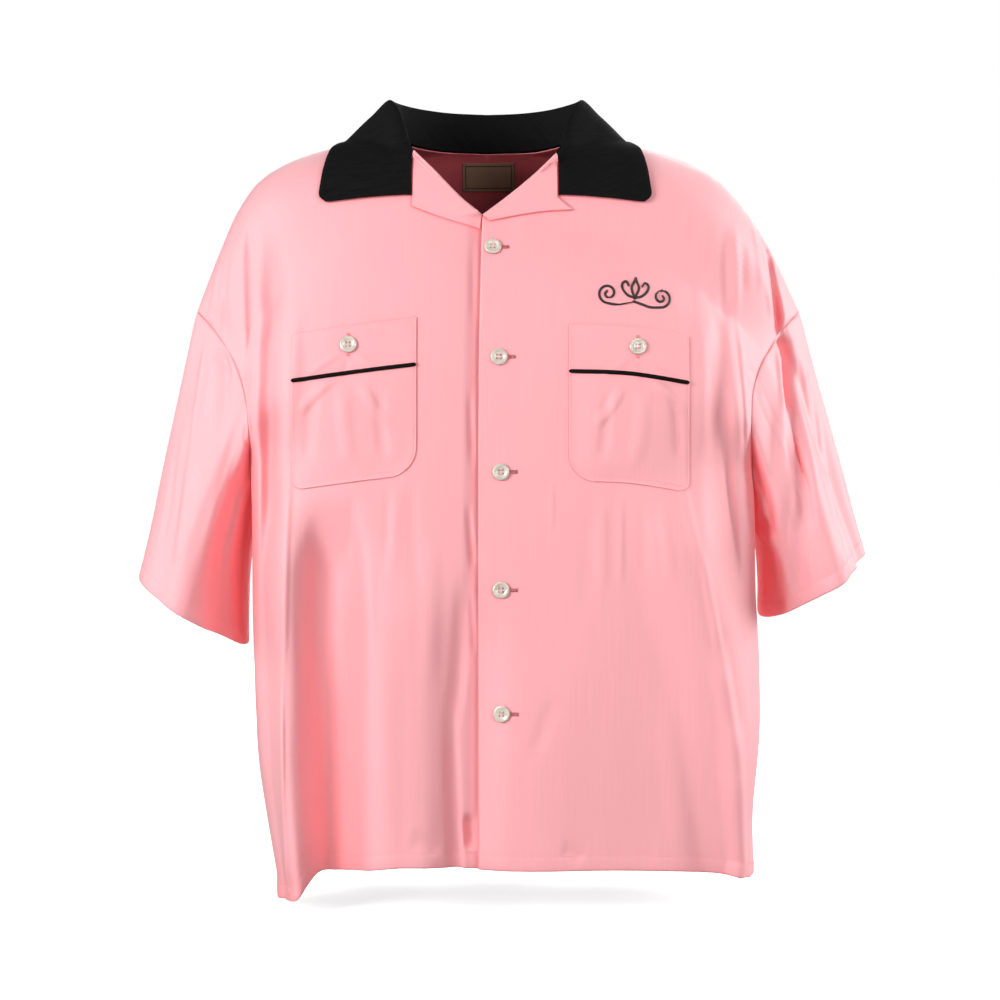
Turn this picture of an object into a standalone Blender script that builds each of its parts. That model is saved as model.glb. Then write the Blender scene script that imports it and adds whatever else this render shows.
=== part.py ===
"""Short-sleeved bowling shirt with a flat camp collar, filled out as if it were worn.

Metres, +Z up.  The origin is the middle of the neck's base, the front faces -Y and +X is the
wearer's left.  A drop is a depth below the origin.  A place round the body is 0 at the front
edge, 1 at a side seam and 2 at the centre back.
"""
import math

import bmesh
import bpy
import numpy as np
from mathutils import Matrix, Vector
from mathutils.bvhtree import BVHTree

NAME = "bowling_shirt"
RIGHT, LEFT = -1, 1                # the wearer's sides

# Cloth and seams
CLOTH = 0.0012                     # wall of the shirt cloth
COLLAR_CLOTH = 0.0016              # the collar is two layers and an interlining
SEAM = 0.0005                      # clear gap between two pieces that are sewn edge to edge
SHOULDER_SEAM = 0.0012             # the same where two walls lean together inside
LAY = 0.0006                       # clear gap under a piece that lies on another
POCKET_LAY = 0.0011                # the same under the wider pockets
SEAT = 0.0004                      # the same under a button and the neck label
LAP = 0.0021                       # step between the two fronts where they overlap
LAP_WIDE = 0.036                   # width of that overlap
LAP_EASE = 0.045                   # run over which the under front comes forward again

# Mesh rows and columns
ROWS_BELOW = 8                     # rows between the hem and the corners of the armholes
ROWS_ABOVE = 13                    # rows from there to the shoulder seam
BREAK_ROW = 7                      # the one of these at which the lapels break
NAPE_ROW = 8                       # the one at which the centre back meets the neck seam
FRONT_COLUMNS = 24
BACK_COLUMNS = 20                  # on each side of the centre back
FRONT_SCOOP = 18                   # column at the armhole's corner; the rest end under the arm
BACK_SCOOP = 15
SLEEVE_ROWS = 9

# Body below the armholes: sizes of the ring at each drop
CORNER_DROP = 0.322                # where an armhole turns in under the arm
UNDERARM_DROP = 0.362
BODY = {
    "drop":        (0.322, 0.362, 0.430, 0.500, 0.580, 0.650, 0.705),
    "half_wide":   (0.2345, 0.2345, 0.2355, 0.2368, 0.2345, 0.2265, 0.2215),
    "front_y":     (-0.135, -0.135, -0.1345, -0.134, -0.133, -0.131, -0.130),
    "back_y":      (0.125, 0.125, 0.125, 0.124, 0.122, 0.120, 0.119),
    "side_y":      (0.010, 0.010, 0.009, 0.006, 0.002, 0.000, 0.000),
    "front_power": (4.2, 4.2, 3.8, 3.2, 2.9, 2.7, 2.6),
    "left_power":  (4.2, 4.2, 4.1, 4.1, 4.0, 3.9, 3.8),
    "back_power":  (3.2, 3.2, 2.9, 2.7, 2.6, 2.5, 2.5),
}
# The shirt hangs a little askew: its middle drifts to the wearer's left on the way down
MIDDLE = {
    "drop": (0.00, 0.05, 0.10, 0.15, 0.25, 0.35, 0.45, 0.55, 0.65, 0.70),
    "x":    (0.0035, 0.0065, 0.0115, 0.0145, 0.0155, 0.0198, 0.0210, 0.0240, 0.0250, 0.0285),
}
# Lowest edge of the cloth, by place round the body
HEM = {
    "place": (-2.0, -1.3, -1.0, -0.90, -0.80, -0.70, -0.65, -0.61, -0.57, -0.50, -0.42, -0.28, -0.15,
              0.0, 0.4, 0.58, 0.72, 0.80, 1.0, 1.3, 2.0),
    "drop":  (0.690, 0.694, 0.706, 0.722, 0.721, 0.7165, 0.712, 0.701, 0.6925, 0.6910, 0.6870, 0.681,
              0.681, 0.6835, 0.6845, 0.687, 0.692, 0.6965, 0.699, 0.694, 0.690),
}
# Upright edges of the panels, from armpit height upwards: x, y, drop
FRONT_EDGE = ((-0.0024, -0.1350, 0.322), (-0.0016, -0.1300, 0.200),
              (-0.0004, -0.1215, 0.145), (0.0007, -0.1030, 0.095))
CENTRE_BACK = ((0.0182, 0.1250, 0.322), (0.0160, 0.1245, 0.250), (0.0145, 0.1200, 0.150),
               (0.0085, 0.1060, 0.070), (0.0035, 0.0780, 0.012))
# Edges given by distance from the middle: half width, y, drop
NECK_FRONT = ((0.0675, -0.0760, 0.034), (0.0800, -0.0400, 0.015), (0.0865, 0.0000, 0.006))
NECK_BACK_FROM_CENTRE = ((0.0, 0.0780, 0.012), (0.0450, 0.0680, 0.0115), (0.0740, 0.0400, 0.0095),
                         (0.0865, 0.0000, 0.006))
NECK_BACK = ((0.0450, 0.0680, 0.0115), (0.0740, 0.0400, 0.0095), (0.0865, 0.0000, 0.006))
SHOULDER = ((0.0865, 0.0, 0.0060), (0.1250, 0.0, 0.0130), (0.1645, 0.0, 0.0222),
            (0.1955, 0.0, 0.0345), (0.2165, 0.0, 0.0478), (0.2390, 0.0, 0.0745),
            (0.2608, 0.0, 0.1145), (0.2855, 0.0, 0.1725))
# Armholes above their corners, which lie on the ring
ARMHOLE_FRONT = ((0.2290, -0.0900, 0.2850), (0.2330, -0.0850, 0.2500), (0.2400, -0.0750, 0.2300),
                 (0.2535, -0.0550, 0.2085), (0.2695, -0.0300, 0.1880), (0.2855, 0.0000, 0.1725))
ARMHOLE_BACK = ((0.2285, 0.0950, 0.2850), (0.2320, 0.0930, 0.2500), (0.2400, 0.0820, 0.2270),
                (0.2535, 0.0610, 0.2040), (0.2695, 0.0340, 0.1850), (0.2855, 0.0000, 0.1725))

# Folds of the body: place at the top and foot, drops of both ends, half width and height.
# A height below zero is a trough.
FOLD_COLUMNS = ("top", "foot", "from_drop", "to_drop", "half_wide", "high")
BODY_FOLDS = (
    # wearer's right front
    (-0.80, -0.80, 0.24, 0.66, 0.036, 0.006),
    (-0.61, -0.68, 0.22, 0.54, 0.022, -0.006),
    (-0.54, -0.670, 0.34, 0.80, 0.028, 0.026),
    (-0.40, -0.485, 0.34, 0.80, 0.036, -0.024),
    (-0.225, -0.25, 0.38, 0.80, 0.055, 0.010),
    (-0.02, -0.045, 0.42, 0.80, 0.040, -0.008),
    # wearer's left front
    (0.17, 0.16, 0.46, 0.80, 0.050, 0.003),
    (0.42, 0.41, 0.46, 0.80, 0.045, -0.002),
    (0.48, 0.78, 0.32, 0.80, 0.058, 0.019),
    (0.61, 0.70, 0.20, 0.47, 0.026, -0.012),
    (0.80, 0.80, 0.22, 0.44, 0.026, 0.006),
    # sides, which the sleeves push in
    (-1.00, -1.00, 0.345, 0.54, 0.085, -0.013),
    (1.00, 1.00, 0.345, 0.50, 0.080, -0.012),
    # back
    (-1.22, -1.24, 0.30, 0.80, 0.036, 0.011),
    (-1.37, -1.40, 0.32, 0.80, 0.036, -0.015),
    (-1.56, -1.60, 0.24, 0.80, 0.046, 0.011),
    (-1.78, -1.80, 0.28, 0.80, 0.042, -0.014),
    (2.04, 2.02, 0.16, 0.80, 0.052, 0.010),
    (1.80, 1.78, 0.30, 0.80, 0.038, -0.013),
    (1.60, 1.63, 0.22, 0.80, 0.048, 0.011),
    (1.41, 1.42, 0.34, 0.80, 0.036, -0.016),
    (1.23, 1.20, 0.30, 0.80, 0.036, 0.011),
)
FOLD_FADE = 0.08                   # length over which a fold rises out of the cloth
TURN_PLACE = 0.84                  # folds nearer the front edge than this rise straight ahead

# Sleeves: outer and inner end of the cuff's edge as x and drop, its y and half depth, and how
# far the front of the edge dips
SLEEVES = {
    RIGHT: {"outer": (-0.3260, 0.4230), "inner": (-0.2225, 0.4880), "y": 0.012,
            "half_deep": 0.090, "dip": 0.003},
    LEFT:  {"outer": (0.3640, 0.3980), "inner": (0.2630, 0.4600), "y": 0.012,
            "half_deep": 0.090, "dip": 0.010},
}
# Folds of a sleeve: place round it (0 underarm, 0.25 front, 0.5 top) at the top and foot, the
# share of its length at which the fold starts, half width and height
SLEEVE_FOLD_COLUMNS = ("top", "foot", "start", "half_wide", "high")
SLEEVE_FOLDS = {
    RIGHT: ((0.27, 0.13, 0.02, 0.030, -0.018),
            (0.36, 0.27, 0.20, 0.034, 0.008),
            (0.64, 0.70, 0.15, 0.036, 0.008),
            (0.76, 0.84, 0.05, 0.030, -0.014)),
    LEFT:  ((0.30, 0.17, 0.02, 0.030, -0.018),
            (0.40, 0.30, 0.10, 0.026, 0.010),
            (0.46, 0.41, 0.15, 0.022, -0.008),
            (0.66, 0.72, 0.10, 0.034, 0.008),
            (0.78, 0.85, 0.05, 0.030, -0.014)),
}
SLEEVE_FADE = 0.30                 # share of the sleeve's length over which its folds rise
SLEEVE_GIRTH = 0.52                # mean length round a sleeve
UNDERARM_EASE = 0.006              # how far the underside stands off the straight line

# Collar, from centre back to the front end: half widths, y and height of the roll and of the
# outer edge, and how far the fall swells.  Its seam follows the neck, then the gorge.
NECK_X = 0.0035
COLLAR_COLUMNS = ("roll_x", "roll_y", "roll_z", "edge_x", "edge_y", "edge_z", "swell")
COLLAR = (
    (0.0000, 0.0880, 0.0280, 0.0000, 0.1120, -0.0340, 0.005),
    (0.0340, 0.0850, 0.0290, 0.0440, 0.1070, -0.0335, 0.005),
    (0.0640, 0.0680, 0.0305, 0.0880, 0.0890, -0.0290, 0.005),
    (0.0840, 0.0380, 0.0310, 0.1190, 0.0560, -0.0200, 0.004),
    (0.0900, 0.0020, 0.0285, 0.1340, 0.0120, -0.0125, 0.002),
    (0.0815, -0.0300, 0.0160, 0.1420, -0.0220, -0.0260, 0.003),
    (0.0725, -0.0590, -0.0120, 0.1470, -0.0440, -0.0480, 0.003),
    (0.0690, -0.0785, -0.0380, 0.1505, -0.0600, -0.0640, 0.003),
    (0.0690, -0.0900, -0.0580, 0.1510, -0.0660, -0.0745, 0.002),
    (0.0685, -0.0960, -0.0745, 0.1450, -0.0700, -0.0805, 0.001),
)
GORGE = ((0.0672, -0.0780, -0.0360), (0.0672, -0.0900, -0.0580), (0.0668, -0.0960, -0.0745))
GORGE_STATION = 7                  # the first station whose seam is the gorge
STAND_COLUMNS = 4
FALL_COLUMNS = 6
COLLAR_STATIONS = 19               # from centre back to a front end
COLLAR_LIFT = 0.0050               # how far the outer face of the fall stands off the shirt
LEVEL_Y = 0.060                    # how far from the shoulder line it is lifted at a slant
NECK_INSET = 0.0042                # how far inside the neck's edge the stand is sewn
NECK_RISE = 0.0011                 # and how far above it
OVER_RUN = 2.0                     # stations over which the seam climbs over the neck's edge
ROLL_NEAR = 0.0018                 # how close to the roll it lies along the gorge

# Lapels, from the break above the top button to the gorge: x and drop of the rolled edge, of a
# point most of the way across and of the free edge
LAPEL_COLUMNS = ("roll_x", "roll_drop", "mid_x", "mid_drop", "free_x", "free_drop")
LAPELS = {
    RIGHT: ((0.0000, 0.0945, -0.0008, 0.1020, -0.0010, 0.1060),
            (-0.0190, 0.0785, -0.0205, 0.0930, -0.0215, 0.1000),
            (-0.0410, 0.0555, -0.0430, 0.0800, -0.0440, 0.0925),
            (-0.0620, 0.0340, -0.0625, 0.0700, -0.0630, 0.0850)),
    LEFT:  ((0.0030, 0.0945, 0.0060, 0.0970, 0.0080, 0.0985),
            (0.0250, 0.0775, 0.0300, 0.0880, 0.0330, 0.0935),
            (0.0490, 0.0570, 0.0550, 0.0790, 0.0590, 0.0895),
            (0.0690, 0.0370, 0.0692, 0.0765, 0.0830, 0.0880)),
}
LAPEL_LIFT = 0.0026                # how far its outer face stands off the front

# Pockets: x of the edges near to and far from the front edge, and the drop of the top at the
# near edge, the middle and the far edge
POCKETS = {
    RIGHT: {"near": -0.0576, "far": -0.1705, "top": (0.1875, 0.1945, 0.2022)},
    LEFT:  {"near": 0.0785, "far": 0.1870, "top": (0.1936, 0.1958, 0.2040)},
}
POCKET_TALL = 0.141
BAND_TALL = 0.0425                 # from the top to the piping
NEAR_CORNER = 0.024                # radius of the lower corner near the front edge
FAR_CORNER = 0.011
POUCH_PUFF = 0.0030                # how far the pouch swells off the front
PIPING = 0.0020                    # radius of the piping
PIPING_SIDES = 8

# Neck label on the inside of the back
LABEL_WIDE, LABEL_TALL = 0.0515, 0.0265
LABEL_X, LABEL_DROP = 0.0057, 0.0338
LABEL_CLOTH = 0.0010

# Buttons
BUTTON_RADIUS = 0.0077
BUTTON_THICK = 0.0024
BUTTON_HOLE = 0.0009               # radius of a thread hole
HOLE_PLACE = 0.0016                # from the middle to a hole, along each side
FRONT_BUTTONS = ((0.0105, 0.1230), (0.0161, 0.2232), (0.0179, 0.3264), (0.0180, 0.4320),
                 (0.0188, 0.5430))
POCKET_BUTTONS = {RIGHT: (-0.1187, 0.2122), LEFT: (0.1405, 0.2140)}

PINK = (0.93, 0.43, 0.46)
BLACK = (0.012, 0.011, 0.011)
TAN = (0.36, 0.24, 0.13)
PEARL = (0.86, 0.84, 0.78)


# ---------------------------------------------------------------- curves and tables

def through(stations, values, at):
    """Read a smooth curve that passes through the values at the stations."""
    stations = np.asarray(stations, float)
    values = np.asarray(values, float)
    at = np.clip(np.asarray(at, float), stations[0], stations[-1])
    slopes = np.gradient(values, stations, axis=0)
    i = np.clip(np.searchsorted(stations, at) - 1, 0, len(stations) - 2)
    step = stations[i + 1] - stations[i]
    t = (at - stations[i]) / step
    if values.ndim > 1:
        t, step = t[..., None], step[..., None]
    rise = values[i] * (2 * t**3 - 3 * t**2 + 1) + values[i + 1] * (3 * t**2 - 2 * t**3)
    return rise + step * (slopes[i] * (t**3 - 2 * t**2 + t) + slopes[i + 1] * (t**3 - t**2))


def along(points, fractions, before=None, after=None):
    """Points at fractions of the length of a smooth curve; before and after steer its ends."""
    knots = [p for p in (before, *points, after) if p is not None]
    knots = np.asarray(knots, float)
    chord = np.r_[0, np.cumsum(np.linalg.norm(np.diff(knots, axis=0), axis=1))]
    start = chord[0 if before is None else 1]
    end = chord[-1 if after is None else -2]
    dense = through(chord, knots, np.linspace(start, end, 241))
    length = np.r_[0, np.cumsum(np.linalg.norm(np.diff(dense, axis=0), axis=1))]
    wanted = np.asarray(fractions) * length[-1]
    return np.stack([np.interp(wanted, length, dense[:, k]) for k in range(3)], axis=1)


def cornered(lower, upper, corner):
    """Points up two curves that meet at a corner, which is the row with that number."""
    below = along(lower, np.linspace(0, 1, corner + 1))
    above = along(upper, np.linspace(0, 1, ROWS_ABOVE - corner))
    return np.concatenate([below, above[1:]])


def ease(t):
    """Rise from 0 to 1 with level ends."""
    t = np.clip(t, 0.0, 1.0)
    return t * t * (3 - 2 * t)


def middle_x(drop):
    return through(MIDDLE["drop"], MIDDLE["x"], drop)


def on_side(side, points):
    """World points of an edge that is given by half widths and drops."""
    return [(middle_x(drop) + side * half, y, -drop) for half, y, drop in points]


def at_drop(points):
    return [(x, y, -drop) for x, y, drop in points]


# ---------------------------------------------------------------- body panels

def ring(side, front, places, drops):
    """Points of the body's ring: places from the front edge or centre back to the side seam."""
    size = {name: through(BODY["drop"], BODY[name], drops) for name in BODY if name != "drop"}
    mid = middle_x(drops)
    start_x = FRONT_EDGE[0][0] if front else mid
    start_y = size["front_y"] if front else size["back_y"]
    power = size["back_power"] if not front else size["left_power" if side == LEFT else "front_power"]
    share = 2 / power[..., None]
    turn = np.linspace(0, math.pi / 2, 181)
    far_x = (mid + side * size["half_wide"] - start_x)[..., None]
    far_y = (start_y - size["side_y"])[..., None]
    x, y = far_x * np.sin(turn) ** share, far_y * np.cos(turn) ** share
    length = np.cumsum(np.hypot(np.diff(x), np.diff(y)), axis=-1)
    length = np.concatenate([np.zeros_like(length[..., :1]), length], axis=-1)
    wanted = places[..., None] * length[..., -1:]
    k = np.clip(np.sum(length < wanted, axis=-1, keepdims=True) - 1, 0, len(turn) - 2)
    before, after = (np.take_along_axis(length, n, -1) for n in (k, k + 1))
    t = (wanted - before) / (after - before)
    x, y = ((np.take_along_axis(v, k, -1) * (1 - t) + np.take_along_axis(v, k + 1, -1) * t)[..., 0]
            for v in (x, y))
    return np.stack([start_x + x, size["side_y"] + y, -drops], axis=-1)


def scoop_drop(places, corner):
    """Drop of a panel's upper edge: level to the armhole's corner, then round under the arm."""
    w = np.clip((places - corner) / (1 - corner), 0, 1)
    return UNDERARM_DROP - (UNDERARM_DROP - CORNER_DROP) * (1 - np.sqrt(1 - (1 - w) ** 2))


def patch(inner, outer, foot, top, places):
    """Fill the space between two upright edges and two level ones with rows of points."""
    rows = len(inner)
    across = (places**3)[None, :, None]
    up = ease(np.linspace(0, 1, rows))[:, None, None]
    inner, outer = inner[:, None, :], outer[:, None, :]
    foot, top = foot[None, :, :], top[None, :, :]
    sides = (1 - across) * inner + across * outer
    levels = (1 - up) * foot + up * top
    corners = (1 - up) * ((1 - across) * inner[0] + across * outer[0])
    corners = corners + up * ((1 - across) * inner[-1] + across * outer[-1])
    return sides + levels - corners


def half_panel(side, front):
    """Base surface of half a front or back, hem row first, and each point's place.

    The columns past the armhole's corner stop under the arm, and repeat their last point above.
    """
    columns, scoop = (FRONT_COLUMNS, FRONT_SCOOP) if front else (BACK_COLUMNS, BACK_SCOOP)
    places = np.linspace(0, 1, columns)
    signed = places * side if front else (2 - places) * side
    hem = through(HEM["place"], HEM["drop"], signed)
    upper = scoop_drop(places, places[scoop])
    share = np.linspace(0, 1, ROWS_BELOW + 1)[:, None]
    below = ring(side, front, np.tile(places, (ROWS_BELOW + 1, 1)), hem + (upper - hem) * share)

    upright, neck = (FRONT_EDGE, NECK_FRONT) if front else (CENTRE_BACK, NECK_BACK)
    hole, other = (ARMHOLE_FRONT, ARMHOLE_BACK) if front else (ARMHOLE_BACK, ARMHOLE_FRONT)
    upright = at_drop(upright)
    upright[0] = tuple(below[-1, 0])
    inner = cornered(upright, upright[-1:] + on_side(side, neck), BREAK_ROW if front else NAPE_ROW)
    corner = below[-1, scoop]
    outer = along([corner] + on_side(side, hole), np.linspace(0, 1, ROWS_ABOVE),
                  corner - (0, 0, 0.02), on_side(side, other)[-2])
    inside = places[:scoop + 1] / places[scoop]
    top = along(on_side(side, SHOULDER), inside)
    above = patch(inner, outer, below[-1, :scoop + 1], top, inside)
    rest = np.repeat(below[-1:, scoop + 1:], ROWS_ABOVE, axis=0)
    above = np.concatenate([above, rest], axis=1)
    grid = np.concatenate([below, above[1:]])
    return grid, np.tile(signed, (len(grid), 1))


def fold_height(place, drop, girth):
    """Height of all the body's folds at a place round the body."""
    total = np.zeros_like(drop)
    for row in BODY_FOLDS:
        fold = dict(zip(FOLD_COLUMNS, row))
        run = np.clip((drop - fold["from_drop"]) / (0.69 - fold["from_drop"]), 0, 1)
        centre = fold["top"] + (fold["foot"] - fold["top"]) * run
        away = (place - centre + 2) % 4 - 2
        profile = np.clip(1 - (away * girth / fold["half_wide"]) ** 2, 0, None) ** 2
        rise = ease((drop - fold["from_drop"]) / FOLD_FADE) * ease((fold["to_drop"] - drop) / FOLD_FADE)
        grow = 0.65 + 0.35 * run
        total += fold["high"] * profile * rise * grow
    return total


def turned_ahead(out, place):
    """Directions out of the body, turned straight ahead except near the sides and on the back."""
    turned = out.copy()
    turned[..., 0] *= ease((np.abs(place) - TURN_PLACE) / (1 - TURN_PLACE))
    return turned / (np.linalg.norm(turned, axis=-1, keepdims=True) + 1e-9)


def fold_cloth(grid, place):
    """Push the folds out of a panel, straight ahead on the fronts and square to the oval elsewhere."""
    drop = -grid[..., 2]
    girth = np.where(np.abs(place) > 1, 0.29, np.where(place > 0, 0.33, 0.285))
    height = fold_height(place, drop, girth)
    out = np.stack([(grid[..., 0] - middle_x(drop)) / 0.24**2, grid[..., 1] / 0.13**2], axis=-1)
    out = turned_ahead(out, place)
    folded = grid.copy()
    folded[..., :2] += out * height[..., None]
    return folded


def pull_edge(grid, axis, end, distance):
    """Draw one edge of a grid back along the cloth, to leave the gap of a seam."""
    rows = np.moveaxis(grid, axis, 0)
    edge, inside = (0, 1) if end == 0 else (-1, -2)
    step = rows[inside] - rows[edge]
    rows[edge] += distance * step / np.linalg.norm(step, axis=-1, keepdims=True)


def make_panels():
    """Grids of both fronts and both halves of the back, folded but not yet parted by seams."""
    panels = {}
    for side in (RIGHT, LEFT):
        for front in (True, False):
            grid, place = half_panel(side, front)
            panels[side, front] = fold_cloth(grid, place)
    return panels


def under_lap(panels):
    """The under front's last columns, which run on behind the upper front."""
    upper, under = panels[LEFT, True], panels[RIGHT, True]
    rows = ROWS_BELOW + BREAK_ROW + 1
    behind = ease(1 - np.abs(under[:rows, :, 0] - under[:rows, :1, 0]) / LAP_EASE)
    under[:rows, :, 1] += LAP * behind
    strip = np.zeros((len(under), 2, 3))
    for i, row in enumerate(upper[:rows]):
        x = under[i, 0, 0] + LAP_WIDE * np.array([1.0, 0.5])
        strip[i] = np.stack([x, np.interp(x, row[:, 0], row[:, 1]) + LAP,
                             np.interp(x, row[:, 0], row[:, 2])], axis=1)
    return strip


# ---------------------------------------------------------------- objects

def clear_scene():
    for item in list(bpy.data.objects):
        bpy.data.objects.remove(item, do_unlink=True)


def make_material(name, colour, roughness, metallic=0.0):
    material = bpy.data.materials.new(name)
    material.use_nodes = True
    shader = material.node_tree.nodes["Principled BSDF"]
    shader.inputs["Base Color"].default_value = (*colour, 1.0)
    shader.inputs["Roughness"].default_value = roughness
    shader.inputs["Metallic"].default_value = metallic
    return material


def grid_faces(rows, columns, flip, wrap=False, keep=None):
    """Four-sided faces of a grid of points."""
    faces = []
    for i in range(rows - 1):
        for j in range(columns if wrap else columns - 1):
            k = (j + 1) % columns
            if keep is not None and not (keep[i][j] and keep[i + 1][j] and keep[i][k] and keep[i + 1][k]):
                continue
            face = (i * columns + j, i * columns + k, (i + 1) * columns + k, (i + 1) * columns + j)
            faces.append(face[::-1] if flip else face)
    return faces


def surface(name, grids, weld=0.0):
    """A mesh of one or more grids, each with its faces; corners that meet are welded."""
    mesh = bpy.data.meshes.new(name)
    shape = bmesh.new()
    for points, faces in grids:
        corners = [shape.verts.new(p) for p in points.reshape(-1, 3)]
        for face in faces:
            shape.faces.new([corners[k] for k in face])
    if weld:
        bmesh.ops.remove_doubles(shape, verts=shape.verts[:], dist=weld)
    loose = [v for v in shape.verts if not v.link_faces]
    bmesh.ops.delete(shape, geom=loose, context="VERTS")
    shape.to_mesh(mesh)
    shape.free()
    mesh.shade_smooth()
    return mesh


def place_object(name, mesh, material, matrix=None):
    item = bpy.data.objects.new(name, mesh)
    bpy.data.collections[NAME].objects.link(item)
    item.data.materials.clear()
    item.data.materials.append(material)
    if matrix is not None:
        item.matrix_world = matrix
    return item


def cloth(name, mesh, material, thickness=CLOTH):
    """A piece of cloth: its outer face, given a wall on the inside."""
    item = place_object(name, mesh, material)
    wall = item.modifiers.new("wall", "SOLIDIFY")
    wall.thickness = thickness
    wall.offset = -1.0
    wall.use_rim = True
    return item


def tree_of(grid, keep):
    """A search tree on a grid of points."""
    rows, columns = grid.shape[:2]
    points = [Vector(p) for p in grid.reshape(-1, 3)]
    return BVHTree.FromPolygons(points, grid_faces(rows, columns, False, keep=keep))


class Front:
    """The outer faces of the fronts, for pieces that lie on them."""

    def __init__(self, panels):
        self.trees, self.backs = ({side: tree_of(panels[side, front], kept(panels[side, front], scoop))
                                   for side in (RIGHT, LEFT)}
                                  for front, scoop in ((True, FRONT_SCOOP), (False, BACK_SCOOP)))

    def y(self, side, x, z):
        """How far forward a front stands at x and z."""
        hit = self.trees[side].ray_cast(Vector((x, -1.0, z)), Vector((0, 1, 0)))[0]
        if hit is None:
            hit = self.trees[side].find_nearest(Vector((x, -0.12, z)))[0]
        return hit.y

    def slope(self, side, x, z):
        """Direction out of a front, averaged over the width of a button."""
        r = BUTTON_RADIUS
        across = (self.y(side, x + r, z) - self.y(side, x - r, z)) / (2 * r)
        up = (self.y(side, x, z + r) - self.y(side, x, z - r)) / (2 * r)
        return Vector((across, -1.0, up)).normalized()

    def clear(self, point, lift):
        """Move a point out through the cloth, then away from it until it stands off it."""
        place = Vector(point)
        trees = (*self.trees.values(), *self.backs.values())
        lean = max(-1.0, min(1.0, point[1] / LEVEL_Y))
        out = Vector((0, lean, 1 - abs(lean))).normalized()
        for tree in trees:
            hit = tree.ray_cast(place + out, -out)[0]
            if hit is not None and (hit - place).dot(out) > -CLOTH:
                place = hit + out * CLOTH
        for _ in range(4):
            for tree in trees:
                near, _, _, distance = tree.find_nearest(place)
                if distance < lift:
                    place = near + (place - near) * (lift / max(distance, 1e-6))
        return np.array(place)


def part_seams(grid, scoop):
    """Draw a panel's edges back along the cloth, for the gaps of its seams."""
    pull_edge(grid[:ROWS_BELOW + 1], 1, 1, SEAM / 2)
    pull_edge(grid[ROWS_BELOW:, :scoop + 1], 1, 1, SEAM / 2)
    pull_edge(grid[:, :scoop + 1], 0, 1, SHOULDER_SEAM / 2)
    pull_edge(grid[:ROWS_BELOW + 1, scoop + 1:], 0, 1, SEAM / 2)


def kept(grid, scoop):
    """Mark the points of a panel: all but the repeated ones beside the armhole."""
    keep = np.ones(grid.shape[:2], bool)
    keep[ROWS_BELOW + 1:, scoop + 1:] = False
    return keep


def build_body(panels, strip, pink):
    """Fronts and back, parted at the seams."""
    for side, name in ((RIGHT, "front_right"), (LEFT, "front_left")):
        grid = panels[side, True].copy()
        part_seams(grid, FRONT_SCOOP)
        keep = kept(grid, FRONT_SCOOP)
        if side == RIGHT:
            lapped = np.arange(len(grid)) <= ROWS_BELOW + BREAK_ROW
            grid = np.concatenate([strip, grid], axis=1)
            keep = np.concatenate([lapped[:, None], lapped[:, None], keep], axis=1)
        faces = grid_faces(*grid.shape[:2], flip=side == RIGHT, keep=keep)
        cloth(name, surface(name, [(grid, faces)]), pink)
    halves = []
    for side in (RIGHT, LEFT):
        grid = panels[side, False].copy()
        part_seams(grid, BACK_SCOOP)
        keep = kept(grid, BACK_SCOOP)
        halves.append((grid, grid_faces(*grid.shape[:2], flip=side == LEFT, keep=keep)))
    cloth("back", surface("back", halves, weld=1e-5), pink)


def armhole_edge(grid, scoop):
    """A panel's half of the armhole, from the underarm up to the shoulder."""
    return np.concatenate([grid[ROWS_BELOW, :scoop:-1], grid[ROWS_BELOW:, scoop]])


def sleeve_grid(panels, side):
    """Rings of a sleeve, from the armhole down to the cuff's edge."""
    front = armhole_edge(panels[side, True], FRONT_SCOOP)
    back = armhole_edge(panels[side, False], BACK_SCOOP)
    hole = np.concatenate([front, back[-2:0:-1]])
    size = SLEEVES[side]
    outer = np.array([size["outer"][0], size["y"], -size["outer"][1]])
    inner = np.array([size["inner"][0], size["y"], -size["inner"][1]])
    count = len(hole)
    place = np.r_[np.linspace(0, 0.5, len(front)), np.linspace(0.5, 1, len(back))[1:-1]]
    turn = 2 * math.pi * place
    middle = (outer + inner) / 2
    deep = np.array([0.0, -size["half_deep"], -size["dip"]])
    cuff = middle + np.cos(turn)[:, None] * (inner - middle) + np.sin(turn)[:, None] * deep
    rows = []
    for t in np.linspace(0, 1, SLEEVE_ROWS):
        ring = hole * (1 - t) + cuff * t
        centre = ring.mean(axis=0)
        out = ring - centre
        out /= np.linalg.norm(out, axis=1, keepdims=True)
        high = np.zeros(count)
        for row in SLEEVE_FOLDS[side]:
            fold = dict(zip(SLEEVE_FOLD_COLUMNS, row))
            where = fold["top"] + (fold["foot"] - fold["top"]) * t
            away = np.abs((place - where + 0.5) % 1 - 0.5) * SLEEVE_GIRTH
            profile = np.clip(1 - (away / fold["half_wide"]) ** 2, 0, None) ** 2
            high += fold["high"] * profile * ease((t - fold["start"]) / SLEEVE_FADE)
        ring = ring + out * high[:, None]
        under = np.clip(np.cos(turn), 0, None) * math.sin(math.pi * min(t, 1) ** 0.6)
        ring[:, 0] += side * UNDERARM_EASE * under
        rows.append(ring)
    grid = np.array(rows)
    pull_edge(grid, 0, 0, SEAM / 2)
    return grid


def build_sleeves(panels, pink):
    for side, name in ((RIGHT, "sleeve_right"), (LEFT, "sleeve_left")):
        grid = sleeve_grid(panels, side)
        rows, columns = grid.shape[:2]
        faces = grid_faces(rows, columns, flip=side == LEFT, wrap=True)
        cloth(name, surface(name, [(grid, faces)]), pink)


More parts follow.
